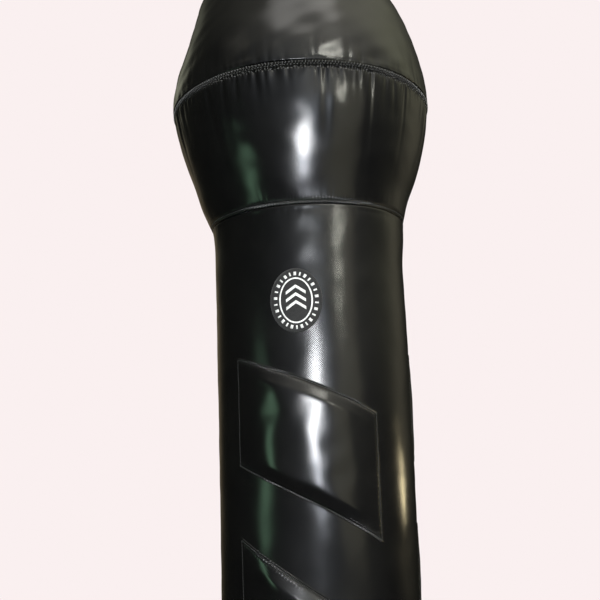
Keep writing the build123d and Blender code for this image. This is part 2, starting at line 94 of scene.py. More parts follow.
# ---------------------------------------------------------------- shape functions
def curve_through(xs, ys):
    """Smooth curve through points, without overshoot (monotone cubic)."""
    xs, ys = np.array(xs), np.array(ys)
    h = np.diff(xs)
    d = np.diff(ys) / h
    m = np.zeros(len(xs))
    same = d[:-1] * d[1:] > 0
    w1, w2 = 2 * h[1:] + h[:-1], h[1:] + 2 * h[:-1]
    safe = np.where(same, d[:-1], 1.0), np.where(same, d[1:], 1.0)
    m[1:-1] = np.where(same, (w1 + w2) / (w1 / safe[0] + w2 / safe[1]), 0.0)
    m[0], m[-1] = d[0], d[-1]

    def at(x):
        x = np.clip(x, xs[0], xs[-1])
        i = np.clip(np.searchsorted(xs, x) - 1, 0, len(h) - 1)
        t = (x - xs[i]) / h[i]
        a = (1 + 2 * t) * (1 - t) ** 2 * ys[i] + t * (1 - t) ** 2 * h[i] * m[i]
        return a + t * t * (3 - 2 * t) * ys[i + 1] + t * t * (t - 1) * h[i] * m[i + 1]

    return at


def cad_radius(h):
    """How far the CAD skins reach from the axis at height h, looked for from outside."""
    reach = 0.0
    level = Vector((0, 0, WAIST + float(np.clip(h, BASE + 0.0005, TOP - 0.0005))))
    for name in ("body_panel", "bulb_panel", "dome_panel"):
        for turn in np.radians(np.arange(0, 360, 15)):
            outward = Vector((math.cos(turn), math.sin(turn), 0))
            found, point, _, _ = bpy.data.objects[name].ray_cast(level + outward, -outward)
            if found:
                reach = max(reach, point.xy.length)
    return reach


def cad_levels():
    """Heights at which the CAD skins are looked at, with both seams among them."""
    column = np.linspace(BASE, -0.0004, 60)
    return np.concatenate([column, np.linspace(0.0004, SHOULDER, 20), np.linspace(SHOULDER, TOP, 32)[1:]])


cad_outline = curve_through(cad_levels(), [cad_radius(h) for h in cad_levels()])


def lumps(theta, h, seed, size, around=(2, 7), tall=(0.12, 0.45), waves=9):
    """Slow unevenness of packed filling: a few random waves round and along the bag."""
    rng = np.random.default_rng(seed)
    total = 0.0
    for _ in range(waves):
        k = rng.integers(around[0], around[1] + 1)
        m = 2 * math.pi / rng.uniform(*tall) * rng.choice((-1, 1))
        total = total + rng.normal() * np.sin(k * theta + m * h + rng.uniform(0, 2 * math.pi))
    return size * total / math.sqrt(waves)


def gathers(theta, depth, radius, seed, count, length, width, size):
    """Small valleys that run away from a stitch line; depth is the distance from it."""
    rng = np.random.default_rng(seed)
    total = np.zeros_like(theta + depth)
    for k in range(count):
        centre = 2 * math.pi * (k + rng.uniform(-0.4, 0.4)) / count
        reach = length * rng.uniform(0.3, 1.0) * rng.choice((0.6, 1.0, 1.9))
        half = width * rng.uniform(0.6, 1.5)
        deep = size * rng.uniform(0.35, 1.0)
        drift = rng.normal() * 0.04
        across = (theta - centre + math.pi) % (2 * math.pi) - math.pi
        across = across * radius + drift * depth
        spread = half * (1 + 0.8 * depth / reach)
        total -= deep * np.exp(-(across / spread) ** 2 - depth / reach)
    return total * (1 - np.exp(-np.maximum(depth, 0) / 0.0025))


def roll_in(distance, reach, deep):
    """How far a panel rolls inwards towards a seam at distance 0."""
    t = np.clip(1 - distance / reach, 0, 1)
    return -deep * t ** 2.2


def bump_at(distance, half, high):
    """A rounded ridge about as wide as half on each side, or a groove when high is negative."""
    return high * np.exp(-(distance / half) ** 2)


def mean_radius(h):
    """The CAD skins' radius at height h, with what the packing changes all round."""
    return cad_outline(h) + sum(bump_at(h - middle, half, change) for middle, half, change, _ in SAGS)


def right_lean(h):
    """How much further out the right side lies; the left side lies as much nearer."""
    return sum(bump_at(h - middle, half, lean) for middle, half, _, lean in SAGS)


def bare_radius(theta, h):
    """The bag without its seams: mean radius plus the right side's lean."""
    return mean_radius(h) + right_lean(h) * np.sin(theta - CAMERA_TURN)


def dents(theta, h, seed, size):
    """Shallow dents and ripples of handled, packed fabric, a few centimetres across."""
    small = lumps(theta, h, seed, size, around=(6, 22), tall=(0.035, 0.12), waves=18)
    return small + lumps(theta, h, seed + 1, 0.6 * size, around=(0, 4), tall=(0.035, 0.07), waves=8)


def column_radius(theta, h):
    """Below the waist seam, with small gathers under it and a rolled lower edge."""
    r = bare_radius(theta, h) + lumps(theta, h, seed=11, size=0.0007) + dents(theta, h, seed=41, size=0.00022)
    below = -h
    r = r + roll_in(below, reach=0.0022, deep=0.0012) + bump_at(below - 0.0050, half=0.003, high=0.0002)
    under = below - 0.003
    r = r + gathers(theta, under, COLUMN_R, seed=21, count=130, length=0.012, width=0.0028, size=0.0006)
    return r + roll_in(h - BASE, reach=0.004, deep=0.0012)


def bulb_radius(theta, h):
    """Between the waist and shoulder seams: gathered at both, and a little fuller low in front."""
    r = bare_radius(theta, h) + lumps(theta, h, seed=12, size=0.0010, tall=(0.15, 0.4))
    r = r + dents(theta, h, seed=43, size=0.00025)
    across = (theta - CAMERA_TURN + 0.12 + math.pi) % (2 * math.pi) - math.pi
    r = r + np.exp(-across ** 2 / 0.25) * bump_at(h - 0.070, half=0.058, high=0.0030)
    r = r + roll_in(h, reach=0.0020, deep=0.0012) + bump_at(h - WAIST_STITCH, half=0.0012, high=-0.0005)
    above = h - WAIST_STITCH
    r = r + gathers(theta, above, 0.182, seed=22, count=130, length=0.010, width=0.0026, size=0.0006)
    below = SHOULDER - h
    r = r + roll_in(below, reach=0.0016, deep=0.0010) - 0.0003 * np.exp(-(below / 0.010) ** 4)
    under = below + SHOULDER_STITCH
    r = r + bump_at(under, half=0.0012, high=-0.0007)
    r = r + gathers(theta, under, WIDEST_R, seed=23, count=120, length=0.034, width=0.0034, size=0.0036)
    return r + gathers(theta, under, WIDEST_R, seed=25, count=250, length=0.009, width=0.0021, size=0.0017)


def dome_radius(theta, h):
    """Above the shoulder seam; its unevenness dies out towards the hooped top edge."""
    uneven = lumps(theta, h, seed=13, size=0.0014, tall=(0.15, 0.4)) + dents(theta, h, seed=45, size=0.00045)
    r = bare_radius(theta, h) + np.clip((TOP - h) / 0.1, 0, 1) * uneven
    above = h - SHOULDER
    r = r + roll_in(above, reach=0.0026, deep=0.0010) + bump_at(above - 0.007, half=0.005, high=0.0004)
    over = above - 0.0005
    r = r + gathers(theta, over, WIDEST_R, seed=24, count=170, length=0.010, width=0.0027, size=0.0013)
    return r + gathers(theta, over, WIDEST_R, seed=26, count=60, length=0.045, width=0.0050, size=0.0009)


# ---------------------------------------------------------------- mesh helpers
def place(theta, r, h):
    """Points from angle, radius and height above the waist."""
    theta, r, h = np.broadcast_arrays(theta, r, h)
    return np.stack([r * np.sin(theta), -r * np.cos(theta), h + WAIST], axis=-1)


def unit(vectors):
    return vectors / np.linalg.norm(vectors, axis=-1, keepdims=True)


def running_length(points):
    """Distance along a polyline, from 0 at its first point."""
    return np.concatenate([[0], np.cumsum(np.linalg.norm(np.diff(points, axis=0), axis=1))])


def along_path(at, run, points):
    """Points at given distances along a polyline whose running length is run."""
    return np.stack([np.interp(at, run, line) for line in points.T], -1)


def add_to_scene(obj):
    bpy.context.scene.collection.objects.link(obj)
    return obj


def make_object(name, verts, faces, corner_uv=None):
    mesh = bpy.data.meshes.new(name)
    faces = faces if isinstance(faces, list) else faces.tolist()
    mesh.from_pydata(np.asarray(verts).reshape(-1, 3).tolist(), [], faces)
    if corner_uv is not None:
        layer = mesh.uv_layers.new(name="cloth")
        layer.data.foreach_set("uv", np.asarray(corner_uv, np.float32).ravel())
    mesh.polygons.foreach_set("use_smooth", [True] * len(mesh.polygons))
    mesh.update()
    return add_to_scene(bpy.data.objects.new(name, mesh))


def grid_faces(rows, cols, wrap_rows, wrap_cols):
    """Four corner indices of each face of a grid, and the unwrapped row and column of each corner."""
    i, j = np.meshgrid(np.arange(rows if wrap_rows else rows - 1),
                       np.arange(cols if wrap_cols else cols - 1), indexing="ij")
    ci = np.stack([i, i, i + 1, i + 1], -1).reshape(-1, 4)
    cj = np.stack([j, j + 1, j + 1, j], -1).reshape(-1, 4)
    return (ci % rows) * cols + cj % cols, ci, cj


def closed_skin(name, outer, inner, radius, hole=None):
    """A thin closed skin round the axis, from outer rows and inner rows that share their columns.
    hole is (first row, last row, first column, last column) of faces left out of both."""
    rows = np.concatenate([outer, inner[::-1]])
    n, cols = rows.shape[:2]
    faces, ci, cj = grid_faces(n, cols, True, True)
    uv = np.stack([cj * (2 * math.pi * radius / cols), rows[ci % n, 0, 2]], -1)
    if hole:
        r0, r1, c0, c1 = hole
        row, col = ci[:, 0], cj[:, 0]
        inside = (col >= c0) & (col < c1)
        cut = inside & (row >= r0) & (row < r1)
        low, high = n - 1 - r1, n - 1 - r0
        cut |= inside & (row >= low) & (row < high)
        faces, uv = faces[~cut], uv[~cut]
        wall = hole_wall(r0, r1, c0, c1, n, cols)
        faces = np.concatenate([faces, wall])
        uv = np.concatenate([uv, np.zeros((len(wall), 4, 2))])
    return make_object(name, rows, faces, uv)


def rim_of(r0, r1, c0, c1):
    """Rows and columns once round a rectangle of a grid."""
    rim = [(r0, c) for c in range(c0, c1)] + [(r, c1) for r in range(r0, r1)]
    return rim + [(r1, c) for c in range(c1, c0, -1)] + [(r, c0) for r in range(r1, r0, -1)]


def end_faces(rows, cols, first=0):
    """The two end faces of a tube made from a grid, whose points count from first."""
    last = first + (rows - 1) * cols
    return [list(range(first + cols - 1, first - 1, -1)), list(range(last, last + cols))]


def hole_wall(r0, r1, c0, c1, n, cols):
    """Faces that join the rim of a hole in the outer rows to the same rim in the inner ones."""
    rim = rim_of(r0, r1, c0, c1)
    wall = []
    for (ra, ca), (rb, cb) in zip(rim, rim[1:] + rim[:1]):
        wall.append([ra * cols + ca, (n - 1 - ra) * cols + ca, (n - 1 - rb) * cols + cb, rb * cols + cb])
    return np.array(wall)


def slab(name, front, back, uv_scale=None):
    """A closed slab from two grids of the same size, joined round their edge."""
    rows, cols = front.shape[:2]
    faces, _, _ = grid_faces(rows, cols, False, False)
    count = rows * cols
    idx = [r * cols + c for r, c in rim_of(0, rows - 1, 0, cols - 1)]
    side = np.array([[b, a, a + count, b + count] for a, b in zip(idx, idx[1:] + idx[:1])])
    all_faces = np.concatenate([faces, faces[:, ::-1] + count, side])
    uv = None
    if uv_scale is not None:
        uv = uv_scale.reshape(-1, 2)[all_faces % count]
    return make_object(name, np.concatenate([front.reshape(-1, 3), back.reshape(-1, 3)]), all_faces, uv)


def capsules(name, centres, along, up, length, radius, sides=6):
    """Short rounded threads: one per stitch, lying along the seam."""
    side = np.cross(along, up)
    rings = ((-0.5, 0.15), (-0.42, 0.75), (-0.2, 1.0), (0.2, 1.0), (0.42, 0.75), (0.5, 0.15))
    turn = 2 * math.pi * np.arange(sides) / sides
    parts = []
    for at, wide in rings:
        sink = -0.35 * radius * (2 * at) ** 2
        ring = (centres + along * at * length + up * sink)[:, None, :]
        ring = ring + radius * wide * (np.cos(turn)[None, :, None] * side[:, None, :]
                                       + np.sin(turn)[None, :, None] * up[:, None, :])
        parts.append(ring)
    verts = np.stack(parts, 1)
    n, m = verts.shape[0], len(rings)
    base, _, _ = grid_faces(m, sides, False, True)
    faces = (base[None] + (np.arange(n) * m * sides)[:, None, None]).reshape(-1, 4).tolist()
    for k in range(n):
        faces += end_faces(m, sides, k * m * sides)
    return make_object(name, verts, faces)


def stitch_path(points, closed=False, pitch=STITCH_PITCH, count=None):
    """Evenly spaced places and directions along a path."""
    points = np.asarray(points)
    if closed:
        points = np.concatenate([points, points[:1]])
    run = running_length(points)
    count = count or max(2, int(run[-1] / pitch))
    at = (np.arange(count) + 0.5) * run[-1] / count
    ahead, behind = along_path(at + 0.001, run, points), along_path(at - 0.001, run, points)
    return along_path(at, run, points), unit(ahead - behind)


def stitches(name, paths, thread_r=THREAD_R, pitch=STITCH_PITCH, length=STITCH_LENGTH, closed=False,
             count=None):
    """Stitches along paths on the bag; each stands out from the axis."""
    centres, alongs = zip(*[stitch_path(p, closed, pitch, count) for p in paths])
    centre, along = np.concatenate(centres), np.concatenate(alongs)
    out = unit(centre * np.array([1, 1, 0]))
    out = unit(out - along * np.sum(out * along, axis=1)[:, None])
    return capsules(name, centre, along, out, length, thread_r)


def note_stitches(obj, away, run, pull):
    """Tells the material how far each point is from a stitch line, how many stitches along it, and how
    hard they pull."""
    for name, values in (("stitch_away", away), ("stitch_run", run), ("stitch_pull", pull)):
        layer = obj.data.attributes.new(name, "FLOAT", "POINT")
        full = np.full(len(obj.data.vertices), 1.0, np.float32)
        full[:values.size] = values.ravel()
        layer.data.foreach_set("value", full)


def stitches_round(height):
    """How many stitches go round the bag at a height."""
    return int(2 * math.pi * float(bare_radius(0.0, height)) / STITCH_PITCH)


def note_round_lines(obj, rows, cols, heights, pulls):
    """The same for stitch lines that run round the bag; the nearest one counts."""
    away = np.abs(rows[:, None] - np.array(heights)[None, :])
    nearest = np.argmin(away, axis=1)
    count = np.array([stitches_round(h) for h in heights])[nearest]
    share = (np.arange(cols) / cols + 0.5) % 1.0 - 0.5
    full = np.ones((1, cols))
    note_stitches(obj, away.min(axis=1)[:, None] * full, count[:, None] * share[None, :],
                  np.array(pulls)[nearest][:, None] * full)


def finish_piece(obj, material, replaced=()):
    """What every new piece needs: its material, its parent body and the CAD nodes that it stands for, which
    it hides. All of them belong to the bag."""
    obj.data.materials.append(material)
    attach(obj, "bag")
    if replaced:
        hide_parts(*replaced)
    return obj


# ---------------------------------------------------------------- materials
def shaded(color, factor):
    return tuple(min(1.0, factor * c) for c in color)


def add_node(tree, kind, inputs=(), **values):
    """A new node with its settings; inputs are names or numbers with plain values or sockets to link."""
    made = tree.nodes.new(kind)
    for key, value in values.items():
        setattr(made, key, value)
    for key, value in dict(inputs).items():
        if isinstance(value, bpy.types.NodeSocket):
            tree.links.new(value, made.inputs[key])
        else:
            made.inputs[key].default_value = value
    return made


class Shader:
    """A Principled material with a few helpers for its nodes."""

    def __init__(self, name, color, rough, metallic=0.0, **constants):
        self.mat = bpy.data.materials.new(name)
        self.mat.use_nodes = True
        self.tree = self.mat.node_tree
        self.bsdf = self.tree.nodes["Principled BSDF"]
        self.bsdf.inputs["Base Color"].default_value = (*color, 1)
        self.bsdf.inputs["Roughness"].default_value = rough
        self.bsdf.inputs["Metallic"].default_value = metallic
        for key, value in constants.items():
            self.bsdf.inputs[key.replace("_", " ")].default_value = value
        self.normal = None

    def node(self, kind, inputs=(), **values):
        return add_node(self.tree, kind, inputs, **values)

    def link(self, a, b):
        self.tree.links.new(a, b)

    def math(self, operation, a, b=None):
        inputs = {0: a} if b is None else {0: a, 1: b}
        return self.node("ShaderNodeMath", inputs, operation=operation).outputs[0]

    def where(self):
        return self.node("ShaderNodeTexCoord").outputs["Object"]

    def uv(self):
        cloth = self.node("ShaderNodeUVMap", uv_map="cloth").outputs["UV"]
        split = self.node("ShaderNodeSeparateXYZ", {0: cloth})
        return split.outputs[0], split.outputs[1]

    def noise(self, scale, detail=3.0, rough=0.55):
        inputs = {"Scale": scale, "Detail": detail, "Roughness": rough, "Vector": self.where()}
        return self.node("ShaderNodeTexNoise", inputs).outputs["Fac"]

    def spread(self, value, low, high, from_low=0.3, from_high=0.7):
        inputs = {"From Min": from_low, "From Max": from_high, "To Min": low, "To Max": high, "Value": value}
        return self.node("ShaderNodeMapRange", inputs).outputs["Result"]

    def roughness(self, value, low, high):
        self.link(self.spread(value, low, high), self.bsdf.inputs["Roughness"])

    def colors(self, value, first, second):
        ramp = self.node("ShaderNodeValToRGB", {0: value})
        for element, position, color in zip(ramp.color_ramp.elements, (0.3, 0.7), (first, second)):
            element.position = position
            element.color = (*color, 1)
        self.link(ramp.outputs[0], self.bsdf.inputs["Base Color"])

    def bump(self, height, distance, strength=1.0):
        inputs = {"Distance": distance, "Strength": strength, "Height": height}
        if self.normal is not None:
            inputs["Normal"] = self.normal
        self.normal = self.node("ShaderNodeBump", inputs).outputs["Normal"]
        self.link(self.normal, self.bsdf.inputs["Normal"])

    def attribute(self, name):
        return self.node("ShaderNodeAttribute", attribute_name=name).outputs["Fac"]

    def stitch_holes(self):
        """Low where a stitch enters the fabric; the mesh tells how far its stitch line is."""
        away = self.math("MULTIPLY", self.attribute("stitch_away"), 1 / HOLE_REACH)
        fade = self.math("POWER", math.e, self.math("MULTIPLY", self.math("MULTIPLY", away, away), -1.0))
        wave = self.math("COSINE", self.math("MULTIPLY", self.attribute("stitch_run"), 2 * math.pi))
        hole = self.math("MULTIPLY", self.math("MULTIPLY", fade, self.math("ADD", wave, 0.6)), -1.0)
        return self.math("MULTIPLY", hole, self.attribute("stitch_pull"))

    def weave(self, pitch, tall=1.0):
        """Crossed threads; tall stretches their pitch along v."""
        u, v = self.uv()
        k = 2 * math.pi / pitch
        across = self.math("SINE", self.math("MULTIPLY", u, k))
        along = self.math("SINE", self.math("MULTIPLY", v, k / tall))
        return self.math("MULTIPLY", across, along)


def coated_fabric(name):
    """Black glossy coated fabric: its scrim shows through, and stitches pull it in."""
    s = Shader(name, (0.0040, 0.0040, 0.0042), 0.2, Specular_IOR_Level=0.5)
    s.roughness(s.noise(11.0, 4.0, 0.6), 0.16, 0.24)
    s.colors(s.noise(14.0, 5.0), (0.0032, 0.0032, 0.0034), (0.0052, 0.0052, 0.0050))
    s.bump(s.noise(22.0, 2.0), 0.0005, 0.35)
    s.bump(s.weave(SCRIM_PITCH * math.sqrt(2)), 0.000028)
    s.bump(s.stitch_holes(), 0.0018)
    return s.mat


def thread(name, color, low=0.45, high=0.7):
    s = Shader(name, color, 0.55)
    s.roughness(s.noise(600.0), low, high)
    s.colors(s.noise(1500.0), shaded(color, 0.7), shaded(color, 1.25))
    s.bump(s.noise(3000.0), 0.0001)
    return s.mat


def zinc(name, color, low, high):
    """Bright zinc plate, a little cloudy, with drawn-wire scratches."""
    s = Shader(name, color, 0.3, metallic=1.0)
    s.roughness(s.noise(55.0, 5.0, 0.65), low, high)
    s.colors(s.noise(120.0, 4.0), shaded(color, 0.72), color)
    s.bump(s.noise(700.0, 2.0), 0.00005)
    s.bump(s.noise(60.0, 2.0), 0.0002, 0.4)
    return s.mat


def woven(name, color, pitch, deep=0.00035):
    """Plain woven webbing or tape."""
    s = Shader(name, color, 0.75, Sheen_Weight=0.25, Sheen_Roughness=0.5)
    pattern = s.weave(pitch, tall=1.25)
    cloudy = s.math("ADD", s.math("MULTIPLY", pattern, 0.25), s.noise(300.0))
    s.colors(cloudy, shaded(color, 0.6), shaded(color, 1.6))
    s.roughness(s.noise(500.0), 0.65, 0.85)
    s.bump(pattern, deep)
    return s.mat


def plain(name, color, low, high, scale=80.0, deep=0.0002, **constants):
    """Moulded, foamed or enamelled surface with slight cloudiness."""
    s = Shader(name, color, low, **constants)
    s.roughness(s.noise(scale, 4.0), low, high)
    s.colors(s.noise(scale * 0.6, 4.0), shaded(color, 0.75), shaded(color, 1.2))
    s.bump(s.noise(scale * 8), deep)
    return s.mat


PVC = coated_fabric("pvc")
PAD_PVC = coated_fabric("pvc_pad")
THREAD = thread("thread_grey", (0.10, 0.10, 0.10))
BLACK_THREAD = thread("thread_black", (0.035, 0.035, 0.035))
SEAM_THREAD = thread("thread_seam", (0.06, 0.06, 0.058), 0.22, 0.4)
HEM_THREAD = thread("thread_hem", (0.085, 0.085, 0.083), 0.22, 0.4)
ZINC = zinc("zinc_plate", (0.60, 0.61, 0.64), 0.24, 0.44)
STEEL = zinc("ground_steel", (0.50, 0.50, 0.52), 0.14, 0.26)
WEBBING = woven("webbing", (0.020, 0.020, 0.022), 0.0022)
BADGE_CLOTH = woven("badge_cloth", (0.007, 0.007, 0.0075), 0.0011, 0.00006)
BADGE_INK = plain("badge_ink", (0.80, 0.80, 0.79), 0.45, 0.6, 220.0, 0.00003)
ZIP_TAPE = woven("zip_tape", (0.016, 0.016, 0.017), 0.0012, 0.00015)
COIL = plain("zip_coil", (0.018, 0.018, 0.018), 0.32, 0.45, 200.0, 0.00003)
ENAMEL = plain("zip_enamel", (0.022, 0.022, 0.022), 0.18, 0.35, 150.0, 0.00003, Coat_Weight=0.5)
FOAM_MAT = plain("foam", (0.11, 0.11, 0.12), 0.8, 0.95, 400.0, 0.0006)
FILL_MAT = plain("textile_shreds", (0.22, 0.21, 0.20), 0.85, 1.0, 60.0, 0.002)


# ---------------------------------------------------------------- camera
def make_camera():
    """The camera stands low and near, looks up a little, and leans slightly."""
    lens, distance, aside, height = 44.39, 1.3697, -0.0192, -0.355
    pitch, roll = math.radians(9.21), math.radians(2.26)
    ahead = Vector((0, math.cos(pitch), math.sin(pitch)))
    right = Vector((1, 0, 0))
    up = right.cross(ahead)
    x_axis = math.cos(roll) * right - math.sin(roll) * up
    y_axis = math.sin(roll) * right + math.cos(roll) * up
    turn = Matrix.Rotation(CAMERA_TURN, 3, "Z")
    data = bpy.data.cameras.new("camera")
    data.lens = lens
    data.sensor_width = 36.0
    data.clip_start = 0.05
    camera = bpy.data.objects.new("camera", data)
    add_to_scene(camera)
    axes = Matrix([turn @ x_axis, turn @ y_axis, turn @ -ahead]).transposed()
    stand = turn @ Vector((aside, -distance, WAIST + height))
    camera.matrix_world = Matrix.Translation(stand) @ axes.to_4x4()
    bpy.context.scene.camera = camera


make_camera()


# ---------------------------------------------------------------- skins
def angles(count):
    return 2 * math.pi * np.arange(count) / count


def steps(*spans):
    """Row heights: spans of (start, end, largest spacing), each joined to the next."""
    rows = []
    for start, end, spacing in spans:
        count = max(1, math.ceil(abs(end - start) / spacing))
        rows += list(np.linspace(start, end, count, endpoint=False))
    return np.array(rows + [spans[-1][1]])


def skin(name, radius_at, heights, cols, inner_rows, cloth_r, slot_hole=None):
    """Closed thin skin from a radius function; cloth_r is its mean radius, for the weave's scale.
    The inner wall follows the bare bag, and rolls in with the edges."""
    theta = angles(cols)[None, :]
    h = heights[:, None]
    outer = place(theta, radius_at(theta, h), h)
    h_in = (heights if inner_rows is None else np.linspace(heights[0], heights[-1], inner_rows))[:, None]
    inner = place(theta, np.minimum(bare_radius(theta, h_in), radius_at(theta, h_in)) - SKIN, h_in)
    return closed_skin(name, outer, inner, cloth_r, slot_hole)


def build_dome():
    rows = steps((SHOULDER + 0.0003, SHOULDER + 0.018, 0.0013), (SHOULDER + 0.018, SHOULDER + 0.05, 0.004),
                 (SHOULDER + 0.05, TOP - 0.03, 0.008), (TOP - 0.03, TOP, 0.004))
    dome = skin("dome_skin", dome_radius, rows, 720, 24, 0.200)
    finish_piece(dome, PVC, ["dome_panel"])


BULB_COLUMNS = 960


def build_bulb():
    rows = steps((0.0003, 0.012, 0.0012), (0.012, 0.12, 0.006), (0.12, SHOULDER - 0.035, 0.0035),
                 (SHOULDER - 0.035, SHOULDER - 0.0003, 0.0013))
    bulb = skin("bulb_skin", bulb_radius, rows, BULB_COLUMNS, 14, 0.215)
    note_round_lines(bulb, rows, BULB_COLUMNS, (WAIST_STITCH, SHOULDER + SHOULDER_STITCH), (0.4, 1.6))
    finish_piece(bulb, PVC, ["bulb_panel"])


def build_column():
    """Column skin, open behind the zip."""
    cols = 512
    rows = steps((BASE, BASE + 0.02, 0.004), (BASE + 0.02, SLOT_LOW, 0.016), (SLOT_LOW, SLOT_HIGH, 0.016),
                 (SLOT_HIGH, -0.05, 0.012), (-0.05, -0.02, 0.004), (-0.02, -0.0003, 0.0013))
    first = int(np.argmin(abs(rows - SLOT_LOW)))
    last = int(np.argmin(abs(rows - SLOT_HIGH)))
    half = 3
    column = skin("column_skin", column_radius, rows, cols, None, COLUMN_R,
                  (first, last, cols // 2 - half, cols // 2 + half))
    finish_piece(column, PVC, ["body_panel"])


def seam_stitches():
    """Topstitching along the two seams."""
    theta = angles(1440)
    for name, height, thick, material in (
        ("shoulder_stitching", SHOULDER + SHOULDER_STITCH, THREAD_R * 1.4, SEAM_THREAD),
        ("waist_stitching", WAIST_STITCH, THREAD_R, BLACK_THREAD),
    ):
        h = np.full_like(theta, height)
        path = place(theta, bulb_radius(theta, h) + 0.0003, h)
        obj = stitches(name, [path], thick, length=0.0029, closed=True, count=stitches_round(height))
        finish_piece(obj, material)


def hem_stitches():
    """Overcast threads that cross the hem, from the shoulder seam down to its topstitching."""
    theta = angles(stitches_round(SHOULDER))
    half, slant = 0.0020, 0.003
    low = place(theta - slant, bulb_radius(theta - slant, HEM_MIDDLE - half) + 0.0003, HEM_MIDDLE - half)
    high = place(theta + slant, bulb_radius(theta + slant, HEM_MIDDLE + half) + 0.0003, HEM_MIDDLE + half)
    along = unit(high - low)
    out = np.cross(unit(np.cross(along, place(theta, 1.0, -WAIST))), along)
    obj = capsules("hem_stitching", (low + high) / 2, along, out, 2 * half, THREAD_R * 1.3)
    finish_piece(obj, HEM_THREAD)


# ---------------------------------------------------------------- filling
def clear_of_skin(h):
    """How far the liner stays inside the bag's bare outline."""
    near_seams = np.exp(-((h - SHOULDER) / 0.014) ** 2) + np.exp(-((h + 0.001) / 0.012) ** 2)
    return 0.0060 + 0.0040 * near_seams


def lathe(name, outer, inner, heights, cols=180):
    """A closed ring of fabric or foam between two radius functions; no inner one makes it solid."""
    theta = angles(cols)[None, :]
    h = heights[:, None]
    walls = [place(theta, outer(theta, h), h)]
    if inner is not None:
        walls.append(place(theta, inner(theta, h), h)[::-1])
    rows = np.concatenate(walls)
    faces, _, _ = grid_faces(len(rows), cols, inner is not None, True)
    faces = faces.tolist()
    if inner is None:
        faces += end_faces(len(rows), cols)
    return make_object(name, rows, faces)


def build_filling():
    column = steps((BASE + 0.003, -0.009, 0.02))
    head = steps((-0.005, 0.10, 0.008), (0.10, TOP - 0.03, 0.012))
    whole = steps((BASE + 0.003, -0.02, 0.03), (-0.02, 0.04, 0.006), (0.04, TOP - 0.06, 0.014))

    def liner(theta, h):
        return bare_radius(theta, h) - clear_of_skin(h)

    def liner_inside(theta, h):
        return liner(theta, h) - FOAM

    def fill(theta, h):
        return liner_inside(theta, h) - 0.001 + lumps(theta, h, 31, 0.0005, around=(5, 30), tall=(0.02, 0.1))

    for name, heights, node in (("column_liner", column, "body_foam"), ("head_liner", head, "head_foam")):
        finish_piece(lathe(name, liner, liner_inside, heights), FOAM_MAT, [node])
    finish_piece(lathe("packed_textile", fill, None, whole), FILL_MAT, ["textile_fill"])


# ---------------------------------------------------------------- strike pads
CLOTH_START = 0.8                    # share of its full height from which the air pushes a pad's cloth
CLOTH_LIFT = 0.0012
CLOTH_MOVES = (-0.004, 0.006)        # how far the cloth may settle, inwards and outwards
CLOTH_FRAMES = 20


def pad_frame(number):
    """Middle angle, half angle and the four corner heights of a pad, from its CAD cover."""
    co = np.array([v.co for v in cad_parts[f"pad_cover_{number}"].data.vertices])
    middle = math.radians(PAD_TURNS[(number - 1) % len(PAD_TURNS)])
    theta = np.arctan2(co[:, 0], -co[:, 1]) - middle
    theta = (theta + math.pi) % (2 * math.pi) - math.pi
    h = co[:, 2] - WAIST
    low, high = theta.min(), theta.max()
    left = h[theta < low + 0.004]
    right = h[theta > high - 0.004]
    return middle, high, left.max(), right.max(), left.min(), right.min()


